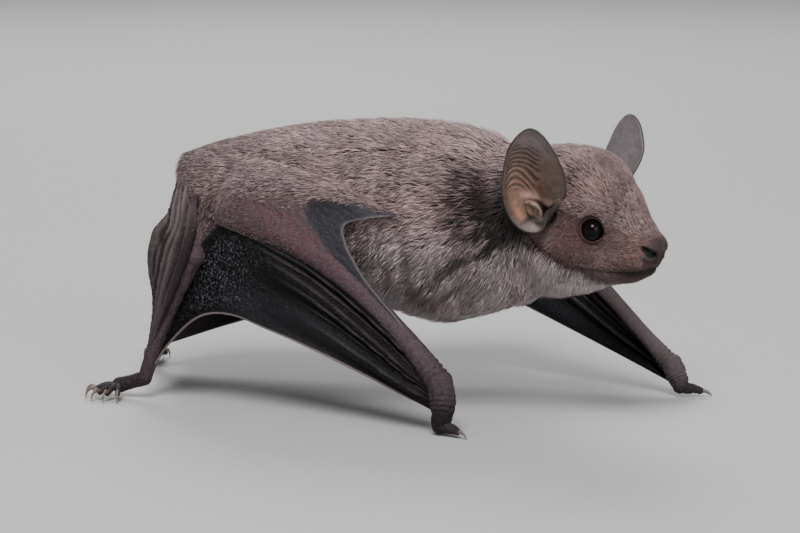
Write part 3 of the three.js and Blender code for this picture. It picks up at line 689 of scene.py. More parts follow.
def ear_material(look):
    """Bare ear: grey-brown outside, tan ridges and an orange flush inside, dark rim."""
    sh = Shader("Ear skin")
    inside, ridge, rim = sh.channels("ear")
    flush, dark, pale = sh.channels("tint")
    fine = sh.noise(1500.0, 5.0)
    colour = sh.blend(look.ear_back, look.ear_inside, inside)
    colour = sh.blend(colour, look.ear_ridge, sh.maths("MULTIPLY", ridge, inside))
    colour = sh.blend(colour, look.ear_flush, flush)
    # pale skin, with painted highlights on the fold and the tragus
    colour = sh.blend(colour, look.pale_skin, pale)
    colour = sh.grain(colour, (0.45, 0.4, 0.38), fine, 0.4, 0.65, 0.5)
    # dark rim, and painted shade in the canal, between the ridges and on the tragus
    colour = sh.blend(colour, look.dark_skin, sh.maths("MAXIMUM", rim, dark))
    normal = sh.bump(fine, 0.0001, 0.5)
    return sh.finish(colour, normal, Roughness=0.5, Subsurface_Weight=0.2, Subsurface_Scale=0.0015)


def limb_material(look):
    """Wrinkled bare skin of arms, legs and wings: mauve limbs, near-black webs that glint in places, and pale
    free edges. The pale share also carries painted highlights and painted light, and the dark share carries
    painted shade."""
    sh = Shader("Limb skin")
    web, slate, flush = sh.channels("limb")
    pale, dark, glint = sh.channels("shade")
    fine = sh.noise(2400.0, 4.0)
    blotch = sh.noise(500.0, 4.0)
    specks = sh.noise(3300.0, 2.0, rough=0.4)
    colour = sh.blend(look.limb, look.limb_flush, sh.maths("MULTIPLY", flush, sh.spread(blotch, 0.25, 0.6)))
    colour = sh.grain(colour, (0.42, 0.38, 0.4), fine, 0.38, 0.66, 0.7)
    web_colour = sh.blend(look.web, look.slate, slate)
    web_colour = sh.grain(web_colour, (0.5, 0.5, 0.55), fine, 0.35, 0.6, 0.7)
    web_colour = sh.blend(web_colour, look.glint, sh.maths("MULTIPLY", glint, sh.spread(specks, 0.5, 0.7)))
    colour = sh.blend(colour, web_colour, web)
    # pale free edges, with painted highlights and painted light
    colour = sh.blend(colour, look.edge, pale)
    # dark skin, with painted shade
    colour = sh.blend(colour, (0.012, 0.009, 0.009), dark)
    wrinkles = sh.bump(sh.spread(sh.cells(1500.0), 0.0, 0.25), 0.00010, 0.45)
    normal = sh.bump(sh.spread(sh.cells(3600.0), 0.0, 0.3), 0.00007, 0.45, over=wrinkles)
    normal = sh.bump(fine, 0.00010, 0.6, over=normal)
    rough = sh.spread(web, 0.0, 1.0, 0.6, 0.5)
    return sh.finish(colour, normal, Roughness=rough, Specular_IOR_Level=0.11)


def coat_material(look):
    """Hair: dark at the root, pale at the tip, each tuft a little lighter or darker."""
    sh = Shader("Coat")
    along = sh.value("along")
    tone = sh.value("tone")
    face, under, parting_and_shade = sh.channels("markings_and_shade")
    patch = sh.noise(130.0, 3.0)
    tip_colour = sh.blend(look.coat_tip, look.coat_under, under)
    tip_colour = sh.blend(tip_colour, look.face_hair, face)
    tip_colour = sh.blend(tip_colour, look.coat_warm, sh.spread(patch, 0.42, 0.62, 0.0, 0.5))
    root = sh.blend(look.coat_root, (0.20, 0.155, 0.155), under)
    shade = sh.blend(root, tip_colour, sh.spread(along, 0.05, 0.75))
    # dark roots behind the ears, with painted shade and shadow between clumps
    shade = sh.blend(shade, look.parting_and_shade, sh.maths("MULTIPLY", parting_and_shade, 0.97))
    shade = sh.blend((0.0, 0.0, 0.0), shade, sh.spread(tone, 0.0, 1.0, 0.36, 1.04))
    return sh.finish(shade, Roughness=0.62, Specular_IOR_Level=0.28, Sheen_Weight=0.09, Sheen_Roughness=0.4)


def eye_material(look):
    """Wet dark eye: near-black pupil in a deep brown iris, under a clear gloss."""
    sh = Shader("Eye")
    pupil = sh.value("pupil")
    fibre = sh.noise(2500.0, 3.0)
    iris = sh.blend(look.eye, (0.0, 0.0, 0.0), sh.spread(fibre, 0.3, 0.7, 0.0, 0.5))
    colour = sh.blend(iris, (0.003, 0.002, 0.002), pupil)
    return sh.finish(colour, Roughness=0.04, Specular_IOR_Level=0.13)


def claw_material(look):
    """Horn: pale and slightly clear, browner at the root, with fine lengthwise streaks."""
    sh = Shader("Claw horn")
    root = sh.value("root")
    streak = sh.noise(4000.0, 3.0)
    colour = sh.blend(look.claw, (0.16, 0.11, 0.09), root)
    colour = sh.grain(colour, (0.7, 0.65, 0.6), streak, 0.35, 0.65, 0.6)
    return sh.finish(colour, sh.bump(streak, 0.00003, 0.4), Roughness=0.32)


# ---- Body skin ----
# Spacing wanted between the skin's rings, at distances ahead of the head's centre.
RING_SPACING = np.array([[-9, 0.6], [-4, 0.34], [1.5, 0.24], [3.0, 0.105], [8.5, 0.105],
                         [10.5, 0.13], [15, 0.12]])


def ring_places():
    """Section places from rump to nose, closest round the eyes and on the muzzle: the running sum
    of length over wanted spacing, cut into equal steps."""
    fine = np.linspace(0, 1, 4000)
    line = through(BODY_ROWS, fine)[:, :3]
    a = head_coordinates(line)[0]
    spacing = np.interp(a, *RING_SPACING.T)
    rings = np.linalg.norm(np.diff(line, axis=0), axis=1) / spacing[1:]
    total = np.concatenate([[0], np.cumsum(rings)])
    return np.interp(np.linspace(0, total[-1], steps(int(total[-1]))), total, fine)


def ring_angles(count):
    """Angles round the body, closer on its two sides: t - 0.17 sin 2t."""
    t = np.linspace(0, FULL_TURN, count, endpoint=False)
    return t - 0.17 * np.sin(2 * t)


def eye_reach(points):
    """Distance of points from the nearer eye's axis, and how far they lie ahead along it."""
    best, ahead = np.full(points.shape[:-1], 99.0), np.zeros(points.shape[:-1])
    for side, axis in EYE_AXES.items():
        q = points - on_head(EYE_AT, side)
        along = q @ axis
        reach = np.linalg.norm(q - along[..., None] * axis, axis=-1)
        near = (reach < best) & (along > -2.5)
        best, ahead = np.where(near, reach, best), np.where(near, along, ahead)
    return best, ahead


def skin_tint(points, reach):
    """Warm flush, darkness and paleness of the bare face, with painted shade in its hollows and painted
    highlights on its rims.
    """
    a, b, c = head_coordinates(points)
    side, plane = np.abs(b), np.stack([a, c], -1)
    outer = ramp(side, 0.6, 1.2)
    # painted shade in the nostril slit
    nostril = (1 - ramp(polyline_distance(plane, NOSTRIL), 0.2, 0.5)) * outer
    lips = bell(polyline_distance(plane, MOUTH), 0.17) * ramp(a, 3.4, 4.6)
    # the nose: dark skin, darkened more on its front as painted shade
    nose = 0.76 * ramp(a, 12.6, 14.0) * ramp(c + 3.2, 0.0, 1.2)
    # painted shade in the crease of the fold from ear to mouth
    fold = bell(polyline_distance(plane, EAR_FOLD), 0.27) * ramp(side, 3.0, 4.5)
    # painted shade in the socket, where the skin sinks behind the eyeball
    socket = 1 - ramp(reach, 1.42, 1.54)
    # dark ring round the eye: partly dark skin, partly painted shade of the lid crease
    ring = 0.8 * bell(reach - 1.9, 0.36)
    dark = np.clip(nostril * 1.3 + lips * 0.9 + nose + fold * 0.95 + socket + ring, 0, 1)
    cheek = spot((a, c), (5.0, -2.6), (5.5, 2.6)) * ramp(side, 2.0, 4.5)
    warm = np.clip(cheek + 0.5 * bell(a - 12.5, 1.2) * bell(c + 1.6, 1.2), 0, 1)
    # pale lid edge, strongest on the lower lid: partly pale skin, partly a painted highlight
    lid = bell(reach - 1.62, 0.06) * (0.08 + 0.42 * ramp(-c, -0.4, 1.6))
    lobe = spot((a, c), (0.2, -3.9), (1.4, 1.1)) * 0.85
    # painted highlight on the rim under the nostril
    rim = 0.75 * bell(polyline_distance(plane, NOSTRIL_RIM), 0.15) * outer
    tip = 0.4 * ramp(a, 12.9, 14.0) * ramp(c + 1.0, 0.0, 1.2)
    pale = np.clip(lid + lobe + rim + tip, 0, 1)
    return np.stack([warm, dark, pale], -1)


def body_part():
    """Skin of head, neck and trunk as one closed surface, with a rounded nose."""
    s, angle = np.meshgrid(ring_places(), ring_angles(steps(240)), indexing="ij")
    plain, outward = loft(s, angle)
    lean = np.radians([12, 24, 36, 48, 60, 71, 81])[:, None, None]
    centre = plain[-1].mean(0)
    cap = centre + (plain[-1] - centre) * np.cos(lean) + HEAD_FORWARD * 0.42 * np.sin(lean)
    cap_outward = unit(outward[-1] * np.cos(lean) + HEAD_FORWARD * np.sin(lean))
    plain, outward = np.vstack([plain, cap]), np.vstack([outward, cap_outward])
    raised = head_relief(plain, outward)
    reach = eye_reach(raised)[0]
    grid = eyelids(raised)
    small = 0.05 * waves(grid, 1.1, 5) + 0.025 * waves(grid, 0.45, 6)
    calm = ramp(reach, 1.8, 2.6)
    grid = pushed(grid, outward, small * calm)
    values = {"markings_and_shade": markings_and_shade(raised), "tint": skin_tint(raised, reach)}
    return tube_part(grid, values)


# ---- Ears ----
def ear_bowl(depth, turn):
    """Middle of the ear's wall, in head distances: the rim drawn down to the canal, with a sag of
    depth (1 - depth) times its distance from the canal."""
    rim = ring_through(EAR_RIM, turn)
    line = EAR_CANAL - rim
    far = np.linalg.norm(line, axis=-1, keepdims=True)
    d = depth[..., None]
    return rim + line * d + EAR_SAG * far * d * (1 - d)


OUTER_ROWS, INNER_ROWS = 20, 56  # rings of the ear's outer and inner wall


def ear_frame(depth, turns):
    """Middle of the ear's wall with its direction into the hollow, by small steps."""
    middle = ear_bowl(depth, turns)
    across = ear_bowl(depth, turns + STEP) - ear_bowl(depth, turns - STEP)
    down = ear_bowl(depth + STEP, turns) - ear_bowl(depth - STEP, turns)
    normal = unit(np.cross(across, down))
    return middle, normal * np.sign((normal * (EAR_HOLLOW - middle)).sum(-1).mean())


def ear_ridges(middle, depth):
    """Share of the cross ridges on the back of the bowl, and their wave: a cosine of the height,
    bowed by the square of the depth and a little noise."""
    a, c = middle[..., 0], middle[..., 2]
    back = ramp(-a, 1.6, 2.8) * ramp(depth, 0.05, 0.14) * (1 - ramp(depth, 0.6, 0.8))
    ladder = ramp(c, 1.6, 2.6) * (1 - ramp(c, 7.8, 9.6)) * back
    phase = (c + 15.0 * (depth - 0.37) ** 2 + 0.22 * waves(middle, 3.0, 32)) / 0.80
    return ladder, np.cos(FULL_TURN * phase)


def ear_values(middle, depth, turns, inner, fold):
    """Shares that tint the ear: inner side, ridges and rim, then glow, darkness and paleness. The darkness
    holds painted shade down the canal and between the ridges, and the paleness a painted highlight along the
    raised fold.
    """
    a, c = middle[..., 0], middle[..., 2]
    ladder, wave = ear_ridges(middle, depth)
    crest = np.clip(0.5 + 0.5 * wave, 0, 1) ** 1.3 * ladder
    glow = inner * spot((depth, turns), (0.34, 0.60), (0.11, 0.055))
    middle_glow = inner * 0.3 * bell(c - 3.0, 3.0) * (1 - ramp(a, -3.0, -0.5))
    low_back = inner * (1 - ramp(depth, 0.06, 0.3)) * bell(turns - 0.52, 0.11) * 0.5
    # painted shade in the slot of the canal
    slot = spot((a, c), (-2.7, -2.0), (0.4, 0.8))
    # painted shade deep in the bowl towards the canal, less under the raised fold
    canal = inner * np.maximum(ramp(depth, 0.7, 0.9) * (1 - 0.6 * fold), slot)
    front = inner * ramp(a, -2.6, -0.4) * 0.12
    # painted shade in the valleys between the ridges
    valley = inner * ladder * (1 - crest) * 0.6
    lobe = ramp(-(c + 2.2), 0.0, 0.8) * (1 - ramp(depth, 0.3, 0.6)) * 0.25
    return {"ear": np.stack([inner * (1 - 0.75 * ramp(c, 7.5, 9.5)), crest, 0.85 * bell(depth, 0.03)], -1),
            "tint": np.stack([np.clip(glow + middle_glow + 0.5 * inner * fold, 0, 1),
                              np.clip(canal + front + valley + low_back, 0, 1),
                              # paleness: the pale lobe, and a painted highlight along the raised fold
                              np.clip(lobe + 0.45 * inner * fold, 0, 1)], -1)}


def ear_part(side):
    """One ear: outer wall from its base to the rim, and inner wall from the rim to the canal, with
    cross ridges on the back of the bowl, a fold across it, a beaded rim and fine veins."""
    turn = np.linspace(0, 1, steps(220), endpoint=False)
    outside = np.linspace(0.95, 0, OUTER_ROWS) ** 1.1
    inside = np.linspace(0, 0.95, INNER_ROWS) ** 1.15
    depth, turns = np.meshgrid(np.concatenate([outside, inside]), turn, indexing="ij")
    middle, inward = ear_frame(depth, turns)
    inner = np.zeros(depth.shape)
    inner[OUTER_ROWS:] = 1.0
    wall = np.interp(depth, [0, 0.03, 0.12, 0.4, 0.95], [0.10, 0.16, 0.2, 0.3, 0.35])
    ladder, wave = ear_ridges(middle, depth)
    fold = bell(middle[..., 2] - 1.2, 0.6) * ramp(depth, 0.42, 0.6) * (1 - ramp(depth, 0.84, 0.94))
    rise = np.where(inner > 0, wall, -wall) + inner * (ladder * 0.12 * wave + 0.4 * fold)
    rise = rise + np.where(inner > 0, 0.07, -0.05) * bell(depth - 0.035, 0.03)
    veins = 0.03 * waves(middle, 1.6, 31)
    points = pushed(middle, inward, rise + veins)
    return tube_part(on_head(points, side), ear_values(middle, depth, turns, inner, fold))


# Tragus: its middle and its three axes, as distances forward, outward and up.
TRAGUS_AT = np.array([-2.0, 8.7, -0.1])
TRAGUS_AXES = unit(np.array([[0.98, -0.16, -0.05], [0.02, 0.15, 0.98], [0.15, 0.96, -0.14]]))


def tragus_part(side):
    """The rounded flap before the ear canal: a disc of half width 1.65 and half height 1.2, domed by
    half its thickness, with a softly rolled upper edge and front edge."""
    lean = np.linspace(0.06, math.pi - 0.06, 34)[:, None]
    turn = np.linspace(0, FULL_TURN, 64, endpoint=False)[None]
    r, across = np.sin(lean) ** 0.8, np.cos(lean)
    x, y = 1.65 * r * np.cos(turn), 1.2 * r * np.sin(turn) - 0.12 * np.cos(turn) * r
    top = bell(y - 0.86 + 0.13 * x * x, 0.32)
    front = bell(x - 1.3, 0.32)
    hollow = spot((x, y), (-0.1, -0.1), (1.0, 0.5))
    roll = 0.26 * np.maximum(top, 0.8 * front) - 0.22 * hollow + 0.05 * np.sin(5 * x + 3 * y)
    z = 0.32 * across + roll * ramp(across, -0.3, 0.5) + 0.06 * x * x
    local = (TRAGUS_AT + x[..., None] * TRAGUS_AXES[0] + y[..., None] * TRAGUS_AXES[1]
             + z[..., None] * TRAGUS_AXES[2])
    shape = z.shape
    crest = np.maximum(top, front)
    # painted shade: darker towards its lower part, in its hollow and in a small spot
    low = ramp(-y, 0.6, 1.3) * 0.85 + 0.18 * hollow + 0.45 * bell(x - 0.9, 0.35) * bell(y + 0.3, 0.5)
    values = {"ear": np.stack([np.ones(shape), 0.35 + 0.5 * crest, np.zeros(shape)], -1),
              # paleness: painted highlight along the rolled crests
              "tint": np.stack([0.18 - 0.06 * x + 0 * z, np.clip(low + 0.12, 0, 1), 0.02 + crest * 0.16], -1)}
    return tube_part(on_head(local, side), values)


# ---- Arms, legs and webs ----
def out_of(side):
    """Sign of the outward direction along Y."""
    return -SIDES[side]


def vector(*values):
    """Numbers as an array."""
    return np.array(values, float)


def places(side, *names):
    """Named values of one side's limbs, as arrays."""
    return [np.array(LIMBS[side][name], float) for name in names]


def forearm_rows(side):
    """Forearm axis from elbow to wrist, bowed upward by a half sine to the power 0.8."""
    elbow, wrist, bow = places(side, "elbow", "wrist", "bow")
    t = FOREARM_SHARES[:, None]
    return mix(elbow, wrist, t) + vector(0, 0, 1) * bow * np.sin(math.pi * np.clip(t, 0, 0.9999)) ** 0.8


def forearm_radii(side):
    """Radii of the forearm: the far one is drawn in towards the wrist."""
    return FOREARM_RADII * mix(1.0, places(side, "stout")[0], ramp(FOREARM_SHARES, 0.1, 0.5))


def limb_values(grid, web=0.0, slate=0.0, flush=0.0, pale=0.0, dark=0.0, glint=0.0):
    """Per-point shares that the limb material reads, in two groups of three."""
    shape = grid.shape[:2]
    spread = [np.broadcast_to(x, shape) for x in (web, slate, flush, pale, dark, glint)]
    return {"limb": np.stack(spread[:3], -1), "shade": np.stack(spread[3:], -1)}


def limb_part(grid, **shares):
    """A closed limb from its rings, with the shares that tint it."""
    return tube_part(grid, limb_values(grid, **shares))


def creases(grid, size, seed, stretch=(1.0, 1.0, 1.0)):
    """Sharp-bottomed folds: the size of a smooth noise taken from one."""
    return 1 - 2 * np.abs(waves(grid * np.array(stretch), size, seed, 6))


def upper_arm_part(side):
    """Upper arm, bent a little outward and down in its middle."""
    shoulder, elbow = places(side, "shoulder", "elbow")
    bend = mix(shoulder, elbow, 0.5) + vector(0, 0.3 * out_of(side), -0.4)
    grid, _, _, outward = limb_grid([shoulder, bend, elbow], [1.6, 1.7, 1.75], 50, 40)
    grid = pushed(grid, outward, 0.05 * creases(grid, 3.0, 41) + 0.02 * creases(grid, 1.1, 42))
    return limb_part(grid, flush=0.55)


def forearm_part(side):
    """Forearm with the ridge of its bone, ring folds at elbow and wrist, and lengthwise creases. Its
    underside is painted darker as shade, less so on the far arm, whose upper side is painted lighter as
    light.
    """
    stout = places(side, "stout")[0]
    grid, share, turn, outward = limb_grid(forearm_rows(side), forearm_radii(side), 190, 60,
                                           stretch=FOREARM_TALL)
    low = ramp(-np.sin(turn), 0.1, 0.9)
    bone = 0.16 * bell(np.mod(turn - LIMBS[side]["bone_turn"], FULL_TURN) - 0.4, 0.35)
    elbow_folds = 0.10 * np.cos(FULL_TURN * share * 26 + 2 * np.sin(turn)) * bell(share - 0.04, 0.07)
    wrist_folds = 0.12 * np.cos(FULL_TURN * share * 40 + 1.5 * np.cos(turn)) * ramp(share, 0.86, 0.98)
    lengthwise = 0.04 * creases(grid, 2.6, 43, (0.35, 1, 0.5)) + 0.015 * creases(grid, 0.9, 44, (0.5, 1, 0.6))
    grid = pushed(grid, outward, bone + elbow_folds + wrist_folds + lengthwise)
    flush = (1 - 0.9 * ramp(share, 0.3, 0.9)) * (1 - 0.3 * low) * mix(0.35, 1.0, ramp(share, 0.04, 0.25))
    # painted shade on the underside, and darker towards the wrist
    dark = 0.6 * low + 0.22 * ramp(share, 0.86, 1.0)
    knob = 0.35 * stout**4 * (1 - ramp(share, 0.0, 0.05)) * (1 - low)
    # painted light on the upper side of the far forearm
    light = (1 - stout) * 0.9 * ramp(share, 0.2, 0.5) * (1 - low)
    return limb_part(grid, flush=flush, dark=dark * stout, pale=knob + light)


def wrist_part(side):
    """Wrist with its knobbly ringed pad, pressed flat on the floor, darker underneath and in the grooves
    between its rings as painted shade, and on the far side paler on top as painted light.
    """
    wrist, sole, ahead, stout = places(side, "wrist", "sole", "ahead", "stout")
    path = [wrist + vector(0.2, 0, 0.2), mix(wrist, sole, 0.42) + vector(0.45, 0, 0),
            sole + vector(-0.2, 0, 1.3)]
    radii = np.array([1.8, 1.8, 1.2]) * mix(1, stout, 0.6)
    grid, share, turn, outward = limb_grid(path, radii, 56, 64, ahead)
    rings = 0.06 * np.cos(FULL_TURN * (share * 9 + 0.2 * np.sin(2 * turn + 1))) * bell(share - 0.42, 0.2)
    knobs = 0.08 * creases(grid, 2.0, 45) + 0.04 * creases(grid, 0.8, 46)
    grid = pushed(grid, outward, knobs + rings)
    grid[..., 2] = np.maximum(grid[..., 2], 0.02 + 0.05 * np.clip(grid[..., 2], -1, 0))
    # painted shade under the wrist, towards the floor
    under = ramp(wrist[2] - 0.8 - grid[..., 2], 0.0, 4.2)
    # painted shade in the grooves between the rings
    groove = np.clip(-rings / 0.06, 0, 1) * 0.35
    return limb_part(grid, dark=np.clip(0.2 * stout + 0.7 * under + groove, 0, 1),
                     # painted light on the far wrist's upper part
                     pale=(1 - stout) * 0.8 * (1 - under))


def thumb_part(side):
    """Thumb, from under the wrist forward to its claw."""
    sole, ahead = places(side, "sole", "ahead")
    path = sole + np.array([[0.6], [1.9], [2.9]]) * ahead
    path = path + np.array([[0, 0, 1.3], [0, 0, 1.2], [0, 0, 0.95]])
    grid, _, _, outward = limb_grid(path, [0.88, 0.68, 0.48], 40, 32)
    grid = pushed(grid, outward, 0.07 * creases(grid, 0.8, 47))
    return limb_part(grid, dark=0.65)


def arm_parts(side):
    """Upper arm, forearm, wrist with its sole, and thumb of one side."""
    return [make(side) for make in (upper_arm_part, forearm_part, wrist_part, thumb_part)]


def toe_ways(side):
    """Level directions of the toes, fanned evenly about the middle one."""
    angles = np.radians(LIMBS[side]["turn"] + (np.arange(TOES) - 2) * LIMBS[side]["fan"])
    return [vector(math.cos(angle), math.sin(angle), 0) for angle in angles]


def thigh_part(side):
    """Thigh, from inside the trunk to a kneecap that swells its end."""
    hip, knee = places(side, "hip", "knee")
    middle, inner = mix(hip, knee, 0.5), hip + vector(0.6, -1.6 * out_of(side), -0.8)
    grid, share, turn, outward = limb_grid([inner, middle, knee], [3.2, 2.9, 1.6], 50, 48)
    rough = 0.08 * creases(grid, 2.4, 51) + 0.03 * creases(grid, 1.0, 52)
    cap = 0.3 * bell(share - 0.97, 0.06) * (1 + np.cos(2 * turn)) / 2
    grid = pushed(grid, outward, rough + cap)
    return limb_part(grid, flush=0.35, dark=0.15)


def shank_part(side):
    """Shank, bowed a little backward, with lengthwise creases."""
    knee, ankle = places(side, "knee", "ankle")
    bow = mix(knee, ankle, 0.45) + vector(-0.6, 0, 0)
    grid, share, _, outward = limb_grid([knee, bow, ankle], [1.55, 1.28, 0.98], 120, 48)
    folds = 0.07 * creases(grid, 1.6, 53, (1, 1, 0.25)) + 0.03 * creases(grid, 0.7, 54, (1, 1, 0.5))
    grid = pushed(grid, outward, folds)
    return limb_part(grid, flush=0.3, dark=0.06 + 0.2 * ramp(share, 0.3, 1))


def foot_part(side):
    """Foot from ankle to ball, flat below."""
    ankle, ball = places(side, "ankle", "ball")
    path = [ankle, mix(ankle, ball, 0.5), ball]
    grid, _, _, outward = limb_grid(path, [1.08, 1.0, 1.12], 40, 48)
    grid = pushed(grid, outward, 0.07 * creases(grid, 1.1, 55) + 0.03 * creases(grid, 0.5, 56))
    grid[..., 2] = np.maximum(grid[..., 2], 0.25)
    return limb_part(grid, dark=0.65)


def toe_part(side, way):
    """One toe along a level direction, ringed on its upper side."""
    ball = places(side, "ball")[0]
    reach = np.array([-0.22, 0.2, 0.58, 1.0])[:, None] * TOE_LENGTH
    path = vector(ball[0], ball[1], 0) + reach * way
    path = path + vector(0, 0, 1) * np.array([[1.7], [1.75], [1.75], [1.15]])
    grid, share, turn, outward = limb_grid(path, [0.62, 0.58, 0.48, 0.36], 30, 20)
    grid = pushed(grid, outward, 0.045 * np.cos(FULL_TURN * share * 9) * ramp(np.sin(turn), -0.3, 0.6))
    return limb_part(grid, dark=0.62)


def leg_parts(side):
    """Thigh, shank, foot and five toes of one side."""
    toes = [toe_part(side, way) for way in toe_ways(side)]
    return [thigh_part(side), shank_part(side), foot_part(side), *toes]


def web_lines(side, v):
    """Upper and lower border of the folded wing: from the wrist along forearm and thigh to the
    ankle, and from the wrist along the free edge to the ankle. v runs over seven spans."""
    out = out_of(side)
    elbow, wrist, corner, root, knee, ankle = places(side, "elbow", "wrist", "corner", "root", "knee",
                                                     "ankle")
    upper = list(through(forearm_rows(side), np.array([0.97, 0.74, 0.5, 0.26, 0.04])))
    upper += [mix(elbow, knee, 0.55) + vector(0, out * 0.3, 0.4), knee + vector(0.6, 0, 0),
              mix(knee, ankle, 0.7) + vector(0.6, 0, 0)]
    start, control = wrist + root, mix(wrist, corner, 0.62) + vector(-1, 0, -0.1)
    lower = [mix(mix(start, control, t), mix(control, corner, t), t) for t in (0, 0.25, 0.5, 0.75, 1)]
    lower += [mix(corner, ankle, 0.35) + vector(-0.4, 0, 2.9),
              mix(corner, ankle, 0.72) + vector(-0.2, 0, 2.2), ankle + vector(0.8, 0, 0.6)]
    return through(upper, v), through(lower, v)


def wing_surface(side, u, v):
    """Folded hand and side web in one: a ruled surface between the two borders, pushed outward by
    half sines and by pleats over the finger bones that fan from the wrist. Also returns the share
    that belongs to the hand, and the bones."""
    out = out_of(side)
    upper, lower = web_lines(side, v)
    hand = 1 - ramp(v * 7, 3.3, 4.7)
    along_hand = np.clip(v * 7 / 4, 0, 1)
    along_side = np.clip((v * 7 - 4) / 3, 0, 1)
    pleat = 0.5 * np.sin(6 * math.pi * u) * np.sin(math.pi * np.minimum(1, 0.15 + along_hand))
    bones = np.zeros(u.shape)
    for k in range(6):
        at = 0.10 + 0.135 * k + 0.03 * np.sin(3 * along_hand + k) - 0.045 * along_hand * (k - 1.5)
        length = 1 - ramp(along_hand, 0.75 - 0.09 * k, 0.98 - 0.07 * k)
        bones += bell(u - at, FINGERS[side]["width"]) * length
    hand_lift = 0.3 + pleat + 0.7 * np.sin(math.pi * u) + 0.30 * bones
    side_lift = -1.2 * np.sin(math.pi * u) * np.sin(math.pi * along_side)
    lift = mix(side_lift, hand_lift, hand) * ramp(v * 7, -0.1, 0.5)
    return pushed(mix(upper, lower, u[..., None]), vector(0, out, 0), lift), hand, bones


def wing_part(side):
    """The folded wing as a thin sheet, finely creased, thicker where it meets the arm, with painted shade
    where it leaves the forearm and at the wrist end.
    """
    u, v = share_grid(steps(86), steps(232))
    grid, hand, bones = wing_surface(side, u, v)
    quiet = 1 - ramp(u, 0.90, 0.98)
    net = 0.05 * creases(grid, 1.7, 61) + 0.03 * creases(grid, 0.8, 62)
    crinkle = 0.10 * creases(grid, 1.25, 63) * bell(v * 7 - 4.6, 1.3)
    grid = pushed(grid, vector(0, out_of(side), 0), (net + crinkle) * quiet)
    thick = WEB_THICKNESS + 1.1 * bell(u, 0.06) * hand + 0.12 * bell(u - 1, 0.012)
    web = ramp(u, 0.01, 0.07) * (1 - FINGERS[side]["bare"] * np.clip(bones, 0, 1) * hand)
    web = web * (1 - 0.6 * ramp(v * 7, 6.0, 7.0))
    grey = 0.36 * hand * ramp(u, 0.45, 0.9) * ramp(v * 7, 0.3, 2.0) + 0.03
    values = limb_values(grid, web=web, slate=grey, flush=0.4 * (1 - ramp(u, 0.02, 0.1)),
                         # pale free edge, and the painted highlight along the finger ridges
                         pale=ramp(u, 0.980, 0.990) * 0.6 + FINGERS[side]["pale"] * bones * hand,
                         # painted shade: a dark band where the web leaves the forearm, and darker at the
                         # wrist end
                         dark=np.maximum(0.75 * bell(u - 0.055, 0.035), 0.5 * (1 - ramp(v * 7, 0.1, 1.2))),
                         glint=bell(v * 7 - 4.6, 1.1) * ramp(u, 0.05, 0.3) * (1 - ramp(u, 0.8, 1.0)))
    return sheet_part(grid, thick, values)


def flank_web_part(side):
    """The side web between flank and folded wing: ruled from the flank (u 0) to the wing's upper
    border between elbow and knee (u 1), and sagging by a half sine that fades to its front end."""
    u, v = share_grid(steps(26), steps(72))
    front, rear, height, rise = FLANK_LINE[side]
    x, z = mix(front, rear, v), height + rise * (1 - ramp(v, 0.0, 0.35))
    flank = np.stack([x, out_of(side) * (flank_side(x, z) - 2.2), z], -1)
    border = web_lines(side, mix(0.59, 0.85, v))[0]
    sag = 1.6 * np.sin(math.pi * u) * ramp(v, 0.0, 0.25)
    grid = mix(flank, border, u[..., None]) - vector(0, 0, 1) * sag[..., None]
    grid = pushed(grid, vector(0, 0, 0.12), creases(grid, 2.4, 66))
    return sheet_part(grid, WEB_THICKNESS, limb_values(grid, web=1.0, slate=0.12, glint=0.3))


def flank_side(x, z):
    """Half width of the trunk at a place along it and a height: the edge of its ellipse."""
    at, back, belly, wide = TRUNK_SECTIONS.T
    back, belly, wide = (np.interp(x, at, row) for row in (back, belly, wide))
    share = np.clip((2 * z - back - belly) / (back - belly), -1, 1)
    return wide * np.sqrt(1 - share**2)


def fore_web_surface(side, u, v):
    """Web before the elbow, which also covers the upper arm: rays from the elbow (u 0) to the free
    edge (u 1), bowed up over the upper arm at v 0 and along the forearm at v 1. Where the arm lies
    along the flank, the upper border dips and the web below v 0 slopes up into the flank's coat.
    Where the arm is free, the web starts inside the upper arm, wraps a little behind it below v 0,
    and its narrow end is drawn into the forearm."""
    out = out_of(side)
    shoulder, elbow, wrist, bow = places(side, "shoulder", "elbow", "wrist", "bow")
    on_flank = LIMBS[side]["on_flank"]
    inside = np.clip(v, 0, 1)
    roll = np.clip(-v / 0.35, 0, 1)
    h, w = np.moveaxis(through(FORE_EDGE, inside) * (u * (1 - 0.12 * roll))[..., None], -1, 0)
    if on_flank:
        w = w - through(FORE_DIP, u)[..., 0] * (1 - inside) ** 2.2
    else:
        h, w = h * (1 - 0.9 * ramp(inside, 0.45, 0.75)), w * ramp(inside, 0.0, 0.15)
    beside = w / np.maximum(w + h, 1e-6)
    bowed = bow * np.sin(math.pi * np.clip(w, 0, 1)) ** 0.8 * ramp(beside, 0.75, 1.0)
    lift = 5.0 * np.maximum(h, 0) ** 0.62 * (1 - 0.30 * ramp(h, 0.80, 1.0))
    grid = elbow + h[..., None] * (shoulder - elbow) + w[..., None] * (wrist - elbow)
    if on_flank:
        back, over = 0 * u, np.sin(math.pi * np.clip(u, 0, 1)) ** 0.5 * 3.6 * roll**0.9
        pull = ramp(u, 0.0, 0.1)
    else:
        back = -1.0 * ramp(u, 0.0, 0.6) * np.sin(math.pi / 2 * roll)
        over = -1.2 * ramp(u, 0.0, 0.6) * roll**2
        pull = ramp(u, 0.72, 0.98)
    grid = grid + np.stack([back, out * lift, bowed + over], -1)
    under_coat = out * (flank_side(grid[..., 0], grid[..., 2]) - 1.5)
    grid[..., 1] = mix(grid[..., 1], under_coat, ramp(roll, 0.0, 1.0) * pull)
    return grid


